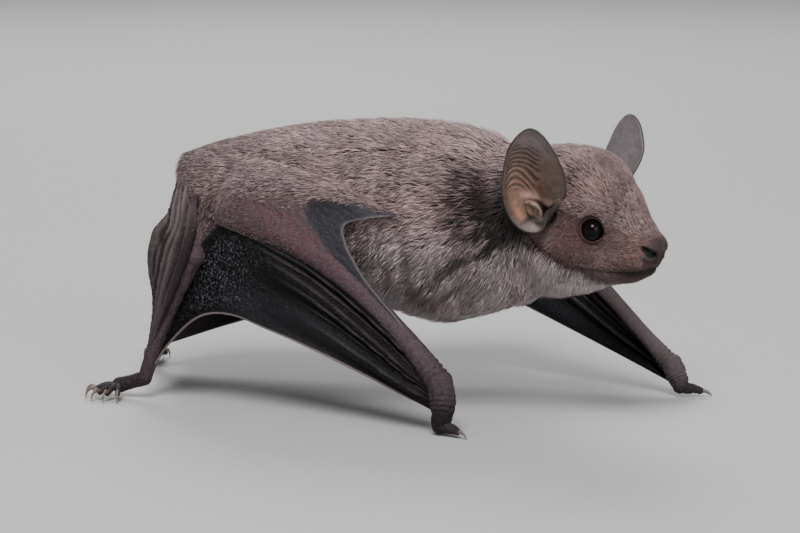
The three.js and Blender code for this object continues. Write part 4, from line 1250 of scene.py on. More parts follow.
def slate_share(u, v):
    """Share of slate web between the mauve skin by the arm and the free edge."""
    inner = 0.62 + 0.25 * np.clip(v, 0, 0.85)
    return ramp(u, inner, inner + 0.08) * ramp(v, -0.02, 0.04)


def fore_web_part(side):
    """The fore web as a thin sheet: mauve by the arm, slate towards its pale free edge. Beside a
    free arm the slate ends where the web is drawn into the forearm."""
    u, v = share_grid(steps(84), steps(104), (0.015, 1), (-0.35, 1))
    grid = fore_web_surface(side, u, v)
    quiet = 1 - ramp(u, 0.93, 0.99)
    small = (0.06 * creases(grid, 2.2, 64) + 0.02 * creases(grid, 0.8, 65)) * quiet
    grid = pushed(grid, vector(0, out_of(side), 0), small)
    thick = WEB_THICKNESS + 0.10 * bell(u - 1, 0.02)
    slate = slate_share(u, v)
    if not LIMBS[side]["on_flank"]:
        slate = slate * (1 - ramp(v, 0.4, 0.6))
    pale = ramp(u, 0.984, 0.993) * 0.45 * ramp(v, 0.0, 0.06) * slate + 0.10 * (1 - slate) * ramp(v, 0.0, 0.3)
    deep = 0.3 * slate * (1 - ramp(u, 0.8, 0.95)) * (1 - ramp(v, 0.1, 0.5))
    values = limb_values(grid, web=slate, slate=1.0, flush=(1 - slate) * ramp(v, -0.1, 0.5), pale=pale,
                         dark=deep)
    return sheet_part(grid, thick, values)


def tail_web_surface(u, v):
    """Web between the legs, from rump (v 0) to hem (v 1): ruled from the right side to the left,
    sagging back under the tail. The side lines leave the rump's coat, pass over the thighs and run
    along the shanks."""
    lines = []
    for side in SIDES:
        out = out_of(side)
        knee, ankle = places(side, "knee", "ankle")
        lines.append(through([vector(-31.5, out * 4.0, 34.4), vector(-28.4, out * 9.7, 29.3),
                              knee + vector(0.5, out * 1.8, 0.45), ankle + vector(0.1, out * 0.75, 1.7)], v))
    sag = through(TAIL_WEB_SAG[:, None], v)[..., 0]
    arch = np.sin(math.pi * np.clip(u, 0, 1))
    grid = mix(lines[0], lines[1], u[..., None])
    return grid + np.stack([-sag * arch**0.7, np.zeros(u.shape), 8 * arch * v**4], -1)


def tail_web_part():
    """The tail web as a thin sheet with folds that run down and draw together at the ankles, with painted
    shade in their valleys and painted highlights on their crests.
    """
    u, v = share_grid(steps(206), steps(86))
    grid = tail_web_surface(u, v)
    across = np.minimum(u, 1 - u)
    stray = 0.4 * np.sin(5 * v + 9 * u) + 0.5 * waves(np.stack([u * 9, v * 2.5, 0 * v], -1), 1.7, 75)
    fold = np.abs(np.sin(math.pi * (across * 17 * (1 + 1.5 * v * v) + stray)))
    depth = 0.64 * ramp(v, 0.0, 0.25) * (1 - 0.5 * ramp(v, 0.8, 1.0)) * (1 - 0.6 * ramp(across, 0.3, 0.5))
    depth = depth * ramp(across, 0.0, 0.025)
    small = 0.07 * creases(grid, 1.6, 71, (1, 1, 0.3)) + 0.04 * creases(grid, 0.7, 72)
    normal = grid_normals(grid)
    inward = np.sign((normal * (vector(-20, 0, 18) - grid)).sum(-1).mean())
    grid = grid - normal * inward * (depth * (2 * fold - 1.3) + small)[..., None]
    thick = WEB_THICKNESS + 0.10 * bell(v - 1, 0.02)
    # painted shade in the valleys of the folds
    valley = bell(fold, 0.4) * ramp(v, 0.03, 0.2)
    streak = ramp(waves(np.stack([across * 60, v * 4, 0 * v], -1), 1.6, 74), 0.1, 0.7)
    # painted highlight on the crests of the folds, broken by streaks
    crest = ramp(fold, 0.72, 1.0) * (1 - 0.8 * streak) * ramp(across, 0.0, 0.04)
    values = limb_values(grid, web=0.30 * ramp(v, 0.3, 0.8), slate=0.3,
                         flush=0.3 + 0.2 * crest - 0.3 * ramp(v, 0.5, 1),
                         pale=ramp(v, 0.986, 0.995) * 0.3 + mix(0.62, 0.34, ramp(v, 0.3, 0.8)) * crest,
                         dark=np.clip(1.2 * valley + 0.5 * streak + 0.2 + 0.1 * ramp(v, 0.3, 0.8), 0, 1))
    return sheet_part(grid, thick, values)


def tail_part():
    """The short tail, which comes out through the upper side of its web and lies along it."""
    rows = tail_web_surface(np.full(5, 0.5), np.linspace(0.05, 0.42, 5))
    rows = rows + np.outer([2.4, 1.6, 0.5, -0.3, -0.6], [1, 0, 0])
    grid, share, _, outward = limb_grid(rows, [1.1, 0.95, 0.8, 0.6, 0.38], 60, 28, (0, 1, 0))
    rings = 0.04 * np.cos(FULL_TURN * share * 14) + 0.04 * creases(grid, 1.0, 73)
    return limb_part(pushed(grid, outward, rings), flush=0.3, dark=0.15)


# ---- Eyes and claws ----
def eye_part(side):
    """A ball with a slight bulge of the cornea, its poles on the eye's axis."""
    axis = EYE_AXES[side]
    across = unit(np.cross(axis, HEAD_UP))
    upward = np.cross(across, axis)
    lean = np.linspace(0.03, math.pi - 0.03, 64)[:, None]
    turn = np.linspace(0, FULL_TURN, 72, endpoint=False)[None]
    radius = EYE_RADIUS + 0.07 * bell(lean, 0.75)
    x = np.sin(lean) * np.cos(turn)
    y = np.sin(lean) * np.sin(turn)
    z = np.cos(lean) + 0 * turn
    grid = (on_head(EYE_AT, side) + (radius * x)[..., None] * across + (radius * y)[..., None] * upward
            + (radius * z)[..., None] * axis)
    pupil = np.broadcast_to(1 - ramp(lean, 0.95, 1.2), grid.shape[:2])
    return tube_part(grid, {"pupil": pupil})


def claw_part(rows, radii):
    """A curved, tapering claw, brown where it leaves the toe."""
    grid, share, _, _ = limb_grid(rows, radii, 36, 20, stretch=1.25, domes=5)
    return tube_part(grid, {"root": 1 - ramp(share, 0.0, 0.45)})


def thumb_claw_part(side):
    """Claw of the thumb, curved down to the floor."""
    sole, ahead = places(side, "sole", "ahead")
    shape = np.array([[2.7, 0.95], [3.5, 0.95], [4.2, 0.6], [4.5, 0.22]])
    rows = sole + shape[:, :1] * ahead + vector(0, 0, 1) * shape[:, 1:]
    return claw_part(rows, [0.30, 0.24, 0.15, 0.06])


def toe_claw_parts(side):
    """Claws of the five toes, arched and curved down to the floor."""
    ball = places(side, "ball")[0]
    shape = np.array([[-0.1, 1.35], [0.65, 1.6], [1.3, 1.0], [1.5, 0.12]]) + [TOE_LENGTH, 0]
    parts = []
    for way in toe_ways(side):
        rows = vector(ball[0], ball[1], 0) + shape[:, :1] * way + vector(0, 0, 1) * shape[:, 1:]
        parts.append(claw_part(rows, [0.24, 0.21, 0.13, 0.05]))
    return parts


# ---- Coat ----
# Each piece of coat: lowest and highest section, lowest and highest angle in degrees.
COAT_PIECES = {
    "coat_rump": (0.0, 3.6, -90, 270),
    "coat_back_rear": (3.6, 6.2, 50, 130),
    "coat_back_front": (6.2, 9.2, 50, 130),
    "coat_right_rear": (3.6, 6.2, -40, 50),
    "coat_right_front": (6.2, 9.2, -40, 50),
    "coat_left_rear": (3.6, 6.2, 130, 220),
    "coat_left_front": (6.2, 9.2, 130, 220),
    "coat_belly": (3.6, 9.2, 220, 320),
    "coat_neck_right": (9.2, 11.0, -90, 90),
    "coat_neck_left": (9.2, 11.0, 90, 270),
    "coat_crown": (11.0, 19.0, 35, 145),
    "coat_face_right": (11.0, 19.0, -90, 35),
    "coat_face_left": (11.0, 19.0, 145, 270),
}
SECTIONS = len(BODY_ROWS) - 1
PATCH = 0.003  # size of one tuft's place in the OFBake map
CELLS = 160  # along each side of the grid from which roots are drawn
MOST_TUFTS = 19900  # in one piece
DOWN = np.array([0.0, 0.0, -1.0])


def skin_frame(s, angle):
    """Skin points with their outward and tailward directions, by small steps."""
    step = 2e-4
    point = body_skin(s, angle)
    ahead = body_skin(np.minimum(s + step, 1), angle) - body_skin(np.maximum(s - step, 0), angle)
    around = body_skin(s, angle + 4 * step) - body_skin(s, angle - 4 * step)
    outward = unit(np.cross(ahead, around))
    plain = loft(s, angle)[1]
    outward = outward * np.sign((outward * plain).sum(-1, keepdims=True))
    return point, outward, -unit(ahead)


def ear_shadow(points):
    """True where a point lies inside the cone from the ear's canal to its rim."""
    a, b, c = head_coordinates(points)
    q = np.stack([a, np.abs(b), c], -1) - EAR_CANAL
    axis = unit(EAR_RIM.mean(0) - EAR_CANAL)
    first = unit(np.cross(axis, [0, 0, 1.0]))
    second = np.cross(first, axis)
    rim = ring_through(EAR_RIM, np.linspace(0, 1, 180, endpoint=False)) - EAR_CANAL

    def polar(v):
        depth = np.maximum(v @ axis, 0.05)
        x, y = v @ first / depth, v @ second / depth
        return np.arctan2(y, x), np.hypot(x, y), v @ axis

    theta, reach, _ = polar(rim)
    order = np.argsort(theta)
    at, r, ahead = polar(q)
    limit = np.interp(at, theta[order], reach[order], period=FULL_TURN)
    inside = (ahead > -0.5) & (r < limit * 1.02) & (np.linalg.norm(q, axis=-1) < 14)
    return inside | (polyline_distance(q, rim[[*range(0, 180, 6), 0]]) < 0.6)


def near_limb(points):
    """True where a root would lie inside an upper arm or a thigh."""
    inside = np.zeros(points.shape[:-1], bool)
    for side in SIDES:
        inside |= polyline_distance(points, np.array(places(side, "shoulder", "elbow"))) < 1.4
        inside |= polyline_distance(points, np.array(places(side, "hip", "knee"))) < 2.0
    return inside


def coat_density(points, angle):
    """Tufts to a square millimetre: fewest on the trunk and most on the face."""
    a = head_coordinates(points)[0]
    trunk = 14.0 + 3.0 * ramp(np.cos(angle), -0.2, 0.6)
    head = mix(28.0, 56.0, ramp(a, 0.0, 5.0))
    return mix(trunk, head, ramp(a, -7.0, 0.5))


def coat_roots(piece, scale, rng):
    """Scatters roots over a piece in proportion to skin area and density: cells of a fine grid are
    drawn by their share of the whole, and a root is put anywhere inside its cell."""
    low, high, first, last = COAT_PIECES[piece]
    s = np.linspace(low, high, CELLS + 1) / SECTIONS
    angle = np.radians(np.linspace(first, last, CELLS + 1))
    grid_s, grid_angle = np.meshgrid(s, angle, indexing="ij")
    points = body_skin(grid_s, grid_angle)
    corner = points[:-1, :-1]
    area = np.linalg.norm(np.cross(points[1:, :-1] - corner, points[:-1, 1:] - corner), axis=-1)
    weight = area * coat_density(corner, grid_angle[:-1, :-1])
    total = np.cumsum(weight.ravel())
    count = int(min(total[-1] * scale, MOST_TUFTS))
    cell = np.searchsorted(total, rng.uniform(0, total[-1], count))
    i, j = np.divmod(cell, CELLS)
    s_root = s[i] + rng.uniform(0, 1, count) * (s[1] - s[0])
    angle_root = angle[j] + rng.uniform(0, 1, count) * (angle[1] - angle[0])
    return s_root, angle_root


def clump(rng, root, tip, length, clumping):
    """Clumps of the roots that share a cell of a warped grid, finer where the hair is short. Returns
    the shift of each tip towards its clump's mean tip, by at most 0.22 of its length, the clump of
    each root, and how many clumps there are."""
    warp = np.stack([waves(root, 3.5, seed) for seed in (83, 84, 85)], -1) * 0.5
    cell = np.round(np.clip(length, 0.5, 3.4) * 0.9 + 0.35, 1)[:, None]
    key = np.floor((root + warp) / cell).astype(int)
    group = np.unique(key @ np.array([1, 1009, 1018081]), return_inverse=True)[1].ravel()
    members = np.bincount(group)
    heart = np.stack([np.bincount(group, tip[:, k]) / members for k in range(3)], -1)
    pull = np.clip(clumping * rng.uniform(0.4, 1.2, len(members))[group], 0, 0.8)[:, None]
    shift = (heart[group] - tip) * pull
    far = np.linalg.norm(shift, axis=1, keepdims=True)
    return shift * np.minimum(1, 0.22 * length[:, None] / np.maximum(far, 1e-6)), group, len(members)


def tuft_mesh(rng, root, outward, way, length, width, rise, clumping):
    """Tufts as thin three-sided spikes with a ring at the root, one at 0.55 of the length and a tip.
    They leave the skin 0.22 steeper than rise, bend down to it, and lean together in clumps. Returns
    points by tuft, and each tuft's tone."""
    count = len(root)
    side = unit(np.cross(way, outward))
    size = length[:, None]
    steep = rise + 0.22
    middle = root + size * 0.55 * (way * np.cos(steep)[:, None] + outward * np.sin(steep)[:, None])
    tip = root + size * (way * np.cos(rise)[:, None] + outward * np.sin(rise)[:, None])
    tip = tip + side * (0.09 * rng.normal(size=count) * length)[:, None]
    shift, group, groups = clump(rng, root, tip, length, clumping)
    tip, middle = tip + shift, middle + shift * 0.4
    spin = rng.uniform(0, FULL_TURN, count)[:, None] + np.array([0.0, 2.1, 4.2])
    around = (np.cos(spin)[..., None] * side[:, None] + 0.6 * np.sin(spin)[..., None] * outward[:, None])
    base = (root - outward * 0.06)[:, None] + around * (0.42 * width)[:, None, None]
    waist = middle[:, None] + around * (0.5 * width)[:, None, None]
    tone = rng.uniform(-0.34, 0.34, groups)[group] + 0.28 * rng.normal(size=count)
    return np.concatenate([base, waist, tip[:, None]], axis=1), tone


def coat_object(name, points, place, tone, marks, looks):
    """One coat piece from its tufts: faces, colour values, and the OFBake map, where each tuft is a
    small patch at its root's place on the unwrapped skin."""
    count = len(points)
    start = np.arange(count)[:, None] * 7
    quads = np.array([[0, 1, 4, 3], [1, 2, 5, 4], [2, 0, 3, 5]])
    ends = np.array([[3, 4, 6], [4, 5, 6], [5, 3, 6], [0, 2, 1]])
    quads = (start[:, None] + quads[None]).reshape(-1, 4)
    ends = (start[:, None] + ends[None]).reshape(-1, 3)
    part = Part(points.reshape(-1, 3), [quads, ends], {
        "along": np.tile([0.0, 0.0, 0.0, 0.55, 0.55, 0.55, 1.0], count)[:, None],
        "tone": np.repeat(np.clip(0.55 + tone, 0, 1), 7)[:, None],
        "markings_and_shade": np.repeat(marks[:, None], 7, axis=1).reshape(-1, 3)})
    place = 0.005 + 0.99 * np.clip(place, 0, 1)
    patch = np.array([[-1, -1], [0, -1], [1, -1], [-1, 0], [0, 0], [1, 0], [0, 1]]) * PATCH / 2
    uv = (place[:, None] + patch[None]).reshape(-1, 2)
    return mesh_object(name, [part], once("Coat", coat_material, looks), (), uv)


def along_skin(vectors, outward):
    """Vectors laid flat on the skin, of length one."""
    return unit(vectors - outward * (vectors * outward).sum(-1, keepdims=True))


def haired(root):
    """True where the coat grows: not round the eyes and ears, inside limbs or on the nose."""
    a, b, c = head_coordinates(root)
    nostril = (polyline_distance(np.stack([a, c], -1), NOSTRIL) < 0.6) & (np.abs(b) > 0.5)
    keep = (eye_reach(root)[0] > 2.1) & ~ear_shadow(root) & ~near_limb(root)
    return keep & ~((a > 13.7) & (c > -3.0)) & ~nostril


def coat_fall(a, c, s, angle):
    """How far the lie of the hair turns from tailward to downward, in radians."""
    flank = ramp(-np.sin(angle), -0.85, 0.6)
    trunk = 0.1 + 0.75 * flank + 0.9 * (1 - ramp(s * SECTIONS, 0.8, 3.2))
    neck = bell(s * SECTIONS - 9.9, 1.1) * ramp(-np.sin(angle), -0.6, 0.3)
    head = 0.15 + 0.9 * ramp(-c, -1.0, 5.0) * (1 - ramp(a, 5.0, 10.0))
    return mix(trunk + 0.55 * neck, head, ramp(a, -2.0, 2.0))


def coat_lie(rng, s, angle, root, outward, tailward):
    """Direction of each hair along the skin: tailward turned downward, less where the skin is level,
    with broad and narrow swirls and some of its own."""
    a, _, c = head_coordinates(root)
    down = DOWN - outward * (outward @ DOWN)[:, None]
    steepness = np.clip(np.linalg.norm(down, axis=1) * 3, 0, 1)
    turn_down = coat_fall(a, c, s, angle)
    swirl = 0.28 * waves(root, 9.0, 81) + 0.16 * waves(root, 3.0, 82) + 0.12 * rng.normal(size=len(root))
    way = (tailward * np.cos(turn_down)[:, None] + unit(down) * (np.sin(turn_down) * steepness)[:, None])
    return along_skin(unit(way) + unit(np.cross(outward, tailward)) * swirl[:, None], outward)


def grow_coat(piece, looks, sizes):
    """One piece of the body's coat: roots, then length, width, rise and lie of each hair."""
    rng = np.random.default_rng(1000 + list(COAT_PIECES).index(piece))
    s, angle = coat_roots(piece, sizes.coat_fullness * (1.0), rng)
    root, outward, tailward = skin_frame(s, angle)
    keep = haired(root)
    s, angle, root, outward, tailward = (x[keep] for x in (s, angle, root, outward, tailward))
    a, _, c = head_coordinates(root)
    count = len(s)
    length = coat_length(root, s, angle) * sizes.coat_length * rng.uniform(0.72, 1.18, count)
    width = np.interp(length, [0.3, 0.9, 3.6], [0.055, 0.085, 0.15]) * rng.uniform(0.7, 1.35, count)
    depth = through(COAT_DEPTH[:, None], s)[:, 0]
    rise = np.arcsin(np.clip(depth / np.maximum(length, 0.2) * rng.uniform(0.5, 1.0, count), 0.05, 0.8))
    rise = rise + 0.24 * ramp(below_jaw(a, c), 0.3, 2.0) * ramp(a, -3.0, 2.0) * rng.uniform(0.2, 1.2, count)
    clumping = sizes.clumping * mix(1.0, 0.9, ramp(a, -3.0, 2.0))
    way = coat_lie(rng, s, angle, root, outward, tailward)
    points, tone = tuft_mesh(rng, root, outward, way, length, width, rise, clumping)
    low, high, first, last = COAT_PIECES[piece]
    place = np.stack([(np.degrees(angle) - first) / (last - first), (s * SECTIONS - low) / (high - low)], -1)
    coat_object(piece, points, place, tone + 0.12 * waves(root, 6.0, 86), markings_and_shade(root), looks)


def patch_frame(surface, u, v):
    """Points of a surface of u and v, with their outward directions, by small steps."""
    point = surface(u, v)
    along_u = surface(u + STEP, v) - surface(u - STEP, v)
    along_v = surface(u, v + STEP) - surface(u, v - STEP)
    outward = unit(np.cross(along_u, along_v))
    middle = point * [1.0, 0.0, 0.0] + [0.0, 0.0, 22.0]
    outward = outward * np.sign((outward * (point - middle)).sum(-1, keepdims=True))
    return point, outward


def round_axis(middle, radius, across, other, u, tall=1.0):
    """Points round an axis at a radius, u in turns, stretched in the other direction."""
    turn = FULL_TURN * u
    ring = np.cos(turn)[..., None] * across + tall * np.sin(turn)[..., None] * other
    return middle + radius[..., None] * ring


def thigh_surface(side, u, v):
    """Round the thigh (u, in turns) and along it from hip to knee (v)."""
    hip, knee = places(side, "hip", "knee")
    axis = unit(knee - hip)
    across = unit(np.cross(axis, vector(0, 1, 0)))
    radius = through(np.array([[3.4], [3.0], [1.65]]), v)[..., 0]
    return round_axis(mix(hip, knee, v[..., None]), radius, across, np.cross(axis, across), u)


def forearm_surface(side, u, v):
    """Round the forearm (u, in turns) and along it from elbow to wrist (v)."""
    rows = forearm_rows(side)
    axis = unit(through(rows, v + STEP) - through(rows, v - STEP))
    across = unit(np.cross(axis, vector(0, 0, 1)))
    radius = through(forearm_radii(side)[:, None], v)[..., 0]
    return round_axis(through(rows, v), radius, across, np.cross(across, axis), u, FOREARM_TALL)


def hair_patches():
    """Thinner hair beyond the trunk, by piece: its surface, range of u and v, tufts, length at low
    and high v, power with which it thins out, rise in radians, lie, brownness at low and high v,
    and how much darker its tufts are."""
    along_arm, along_leg = np.array([-1.0, 0.0, -0.45]), np.array([-0.25, 0.0, -1.0])
    patches = {}
    for side in SIDES:
        patches[f"coat_arm_{side}"] = dict(
            surface=partial(fore_web_surface, side), u=(0.02, 0.99), v=(-0.35, 0.35), tufts=6000,
            length=(2.9, 0.8), thinning=1.3, rise=0.2, lie=along_arm, brown=(0.0, 0.25), darker=0.1)
        patches[f"coat_thigh_{side}"] = dict(
            surface=partial(thigh_surface, side), u=(0, 1), v=(-0.08, 0.95), tufts=3400,
            length=(2.3, 0.9), thinning=0.8, rise=0.12, lie=along_leg, brown=(0.85, 0.85), darker=0.25)
        patches[f"coat_forearm_{side}"] = dict(
            surface=partial(forearm_surface, side), u=(0, 1), v=(0.0, 0.6), tufts=3200,
            length=(1.3, 0.4), thinning=1.5, rise=0.07, lie=along_arm, brown=(0.85, 0.85), darker=0.1)
    patches["coat_tail_web"] = dict(
        surface=tail_web_surface, u=(0, 1), v=(0, 0.6), tufts=9000,
        length=(2.6, 0.8), thinning=1.7, rise=0.10, lie=along_leg, brown=(0.5, 0.5), darker=0.1)
    return patches


def grow_patch(name, looks, sizes):
    """Hair on a web or limb, long and dense at low v, short and sparse at high v. On the fore webs
    it grows only outside the slate part, and beside a free upper arm only behind the arm."""
    patch = hair_patches()[name]
    surface, (u0, u1), (v0, v1) = patch["surface"], patch["u"], patch["v"]
    rng = np.random.default_rng(2000 + sum(name.encode()))
    count = int(patch["tufts"] * sizes.coat_fullness * (1.0))
    u = rng.uniform(u0, u1, count)
    share = 1 - (1 - rng.uniform(0, 1, count)) ** (1 / (patch["thinning"] + 1))
    v = v0 + share * (v1 - v0)
    if name.startswith("coat_arm"):
        bare = slate_share(u, v + 0.02) > rng.uniform(0.02, 0.5, count)
        bare |= (name == "coat_arm_left") & (v < 0.18)
        u, v, share = u[~bare], v[~bare], share[~bare]
        count = len(u)
    root, outward = patch_frame(surface, u, v)
    swirl = 0.35 * waves(root, 5.0, 87) + 0.2 * rng.normal(size=count)
    way = along_skin(patch["lie"] + np.stack([swirl, 0 * swirl, swirl], -1) * 0.6, outward)
    length = mix(*patch["length"], share ** 0.6) * sizes.coat_length * rng.uniform(0.7, 1.2, count)
    width = np.interp(length, [0.3, 0.9, 3.0], [0.035, 0.06, 0.13]) * rng.uniform(0.7, 1.3, count)
    points, tone = tuft_mesh(rng, root, outward, way, length, width, np.full(count, patch["rise"]),
                             sizes.clumping * 0.6)
    place = np.stack([(u - u0) / (u1 - u0), (v - v0) / (v1 - v0)], -1)
    marks = markings_and_shade(root)
    marks[:, 0] = np.maximum(marks[:, 0], mix(*patch["brown"], share))
    coat_object(name, points, place, tone - patch["darker"], marks, looks)


# ---- Settings ----
def colour_property(name, description, default):
    return FloatVectorProperty(name=name, description=description, default=default, subtype="COLOR",
                               size=3, min=0.0, max=1.0)


class BatLooks(bpy.types.PropertyGroup):
    """Colours of coat, skin, eyes and claws."""
    coat_tip: colour_property("Coat tips", "Outer end of the back hair", (0.70, 0.50, 0.505))
    coat_warm: colour_property("Coat warm", "Browner patches of the back", (0.635, 0.43, 0.40))
    coat_under: colour_property("Coat below", "Pale hair of throat and belly", (0.79, 0.685, 0.695))
    coat_root: colour_property("Coat roots", "Dark base of every hair", (0.07, 0.045, 0.046))
    # dark roots behind the ears, and also the painted shade and shadow of the coat
    parting_and_shade: colour_property("Parting", "Dark hair behind the ears", (0.017, 0.010, 0.009))
    face: colour_property("Face", "Thinly haired skin of the face", (0.155, 0.075, 0.071))
    face_hair: colour_property("Face hair", "Short hair of the face", (0.225, 0.133, 0.13))
    face_flush: colour_property("Face flush", "Pinker patches of the cheeks", (0.31, 0.130, 0.128))
    # also the painted shade in nostril, folds, eye socket, ear canal and between ear ridges
    dark_skin: colour_property("Dark skin", "Nostrils, lips and ear rims", (0.008, 0.0055, 0.0055))
    # also the painted highlights on the lid edge, nostril rim, ear fold and tragus
    pale_skin: colour_property("Pale skin", "Lid edges and ear lobes", (0.22, 0.18, 0.195))
    ear_back: colour_property("Ear back", "Outer side of the ears", (0.135, 0.117, 0.122))
    ear_inside: colour_property("Ear inside", "Hollow of the ears", (0.125, 0.085, 0.069))
    ear_ridge: colour_property("Ear ridges", "Cross ridges inside the ears", (0.132, 0.086, 0.070))
    ear_flush: colour_property("Ear flush", "Orange glow low in the ears", (0.40, 0.185, 0.105))
    limb: colour_property("Limbs", "Bare skin of arms and legs", (0.076, 0.057, 0.066))
    limb_flush: colour_property("Limb flush", "Mauve skin round the elbow", (0.100, 0.052, 0.060))
    web: colour_property("Web", "Dark wing web", (0.0018, 0.0016, 0.0020))
    slate: colour_property("Fore web", "Slate web before the elbow", (0.042, 0.041, 0.048))
    glint: colour_property("Glint", "Specks on the crinkled web", (0.085, 0.085, 0.102))
    # also the painted highlights on finger ridges and tail-web folds, and the painted light on the far arm
    edge: colour_property("Web edge", "Pale free edge of the webs", (0.24, 0.20, 0.19))
    eye: colour_property("Eye", "Iris", (0.004, 0.003, 0.0025))
    claw: colour_property("Claws", "Horn of the claws", (0.15, 0.115, 0.095))


class BatSizes(bpy.types.PropertyGroup):
    """Sizes and amounts that a user may change."""
    coat_fullness: FloatProperty(name="Coat fullness", description="Tufts as a share of the usual number",
                                 default=1.0, min=0.1, max=1.2)
    coat_length: FloatProperty(name="Coat length", description="Hair length as a share of the usual",
                               default=1.0, min=0.3, max=1.5)
    clumping: FloatProperty(name="Clumping", description="How far neighbouring tips are drawn together",
                            default=0.5, min=0.0, max=0.8, subtype="FACTOR")
    floor_half: FloatProperty(name="Floor half width", description="Half the side of the floor",
                              default=1.6, min=0.3, unit="LENGTH")
    lens: FloatProperty(name="Lens", description="Focal length of the camera", default=120.0,
                        unit="CAMERA")
    turn: FloatProperty(name="Camera turn", description="Camera's angle round the bat from its right side",
                        default=math.radians(24.0), subtype="ANGLE")
    height_angle: FloatProperty(name="Camera height", description="Camera's angle above the floor",
                                default=math.radians(9.5), subtype="ANGLE")
    reach: FloatProperty(name="Camera distance", description="From the camera to the bat's middle",
                         default=0.39506, unit="LENGTH")
    light_share: FloatProperty(name="Light", description="Strength of the studio light",
                               default=1.0, min=0.0)


# ---- Operators ----
def once(name, make, looks):
    """The material of that name, made from the looks at its first use."""
    return bpy.data.materials.get(name) or make(looks)


class BAT_OT_skin(bpy.types.Operator):
    """Skin of head, neck and trunk"""
    bl_idname = "bat.skin"
    bl_label = "Body skin"

    def execute(self, context):
        material = once("Body skin", skin_material, context.scene.bat_looks)
        mesh_object("skin_body", [body_part()], material, ("head", "neck", "trunk"))
        return {"FINISHED"}


class BAT_OT_ears(bpy.types.Operator):
    """Both ears, with their ridges and tragus"""
    bl_idname = "bat.ears"
    bl_label = "Ears"

    def execute(self, context):
        material = once("Ear skin", ear_material, context.scene.bat_looks)
        for side, sign in SIDES.items():
            parts = [ear_part(sign), tragus_part(sign)]
            mesh_object(f"skin_ear_{side}", parts, material, (f"ear_{side}",))
        return {"FINISHED"}


class BAT_OT_limbs(bpy.types.Operator):
    """Arms, legs and tail"""
    bl_idname = "bat.limbs"
    bl_label = "Limbs"

    def execute(self, context):
        material = once("Limb skin", limb_material, context.scene.bat_looks)
        for side in SIDES:
            arm = [f"{node}_{side}" for node in ("upper_arm", "forearm", "wrist", "thumb")]
            leg = [f"{node}_{side}" for node in ("thigh", "shank", "foot")]
            mesh_object(f"skin_arm_{side}", arm_parts(side), material, arm)
            mesh_object(f"skin_leg_{side}", leg_parts(side), material, leg)
        mesh_object("skin_tail", [tail_part()], material, ("tail",))
        return {"FINISHED"}


class BAT_OT_webs(bpy.types.Operator):
    """Wing webs and the web between the legs"""
    bl_idname = "bat.webs"
    bl_label = "Webs"

    def execute(self, context):
        material = once("Limb skin", limb_material, context.scene.bat_looks)
        for side in SIDES:
            parts = [wing_part(side), flank_web_part(side)]
            mesh_object(f"skin_wing_{side}", parts, material,
                        (f"hand_wing_{side}", f"plagiopatagium_{side}"), smooth_angle=60)
            mesh_object(f"skin_fore_web_{side}", [fore_web_part(side)], material,
                        (f"propatagium_{side}",), smooth_angle=60)
        mesh_object("skin_tail_web", [tail_web_part()], material, ("uropatagium",),
                    smooth_angle=60)
        return {"FINISHED"}


class BAT_OT_eyes(bpy.types.Operator):
    """Both eyes"""
    bl_idname = "bat.eyes"
    bl_label = "Eyes"

    def execute(self, context):
        material = once("Eye", eye_material, context.scene.bat_looks)
        for side, sign in SIDES.items():
            mesh_object(f"eyeball_{side}", [eye_part(sign)], material, (f"eye_{side}",))
        return {"FINISHED"}


class BAT_OT_claws(bpy.types.Operator):
    """Claws of thumbs and toes"""
    bl_idname = "bat.claws"
    bl_label = "Claws"

    def execute(self, context):
        material = once("Claw horn", claw_material, context.scene.bat_looks)
        for side in SIDES:
            mesh_object(f"claw_thumb_{side}", [thumb_claw_part(side)], material, (f"thumb_claw_{side}",))
            nodes = [f"toe_claw_{side}_{n + 1}" for n in range(TOES)]
            mesh_object(f"claws_foot_{side}", toe_claw_parts(side), material, nodes)
        return {"FINISHED"}


class BAT_OT_coat(bpy.types.Operator):
    """Hair of trunk, neck and head, piece by piece"""
    bl_idname = "bat.coat"
    bl_label = "Coat"

    def execute(self, context):
        looks, sizes = context.scene.bat_looks, context.scene.bat_sizes
        for piece in COAT_PIECES:
            grow_coat(piece, looks, sizes)
        for patch in hair_patches():
            grow_patch(patch, looks, sizes)
        return {"FINISHED"}


class BAT_OT_stage(bpy.types.Operator):
    """Floor, studio light and camera"""
    bl_idname = "bat.stage"
    bl_label = "Stage"

    def execute(self, context):
        sizes = context.scene.bat_sizes
        make_floor(sizes)
        make_lights(sizes)
        make_camera(sizes)
        return {"FINISHED"}


def make_floor(sizes):
    """A flat square at the height of the soles."""
    half = sizes.floor_half
    mesh = bpy.data.meshes.new("floor")
    corners = [(-half, -half, 0), (half, -half, 0), (half, half, 0), (-half, half, 0)]
    mesh.from_pydata(corners, [], [(0, 1, 2, 3)])
    sh = Shader("Pale floor")
    grain = sh.noise(900.0, 4.0)
    colour = sh.blend((0.44, 0.435, 0.43), (0.50, 0.495, 0.49), grain)
    mesh.materials.append(sh.finish(colour, sh.bump(grain, 0.0001, 0.2), Roughness=0.8))
    floor = bpy.data.objects.new("floor", mesh)
    bpy.context.scene.collection.objects.link(floor)


# Soft lights: name, place and aim in metres, size, strength in watts, colour.
LIGHTS = [
    ("key light", (0.18, -0.55, 0.75), (0.0, 0.0, 0.02), 0.45, 9.5, (1.0, 0.985, 0.97)),
    ("fill light", (0.75, -0.45, 0.30), (0.0, 0.0, 0.02), 0.6, 2.8, (0.96, 0.98, 1.0)),
    ("back light", (-0.35, 0.60, 0.60), (0.0, 0.0, 0.03), 0.5, 5.0, (1.0, 0.99, 0.98)),
]


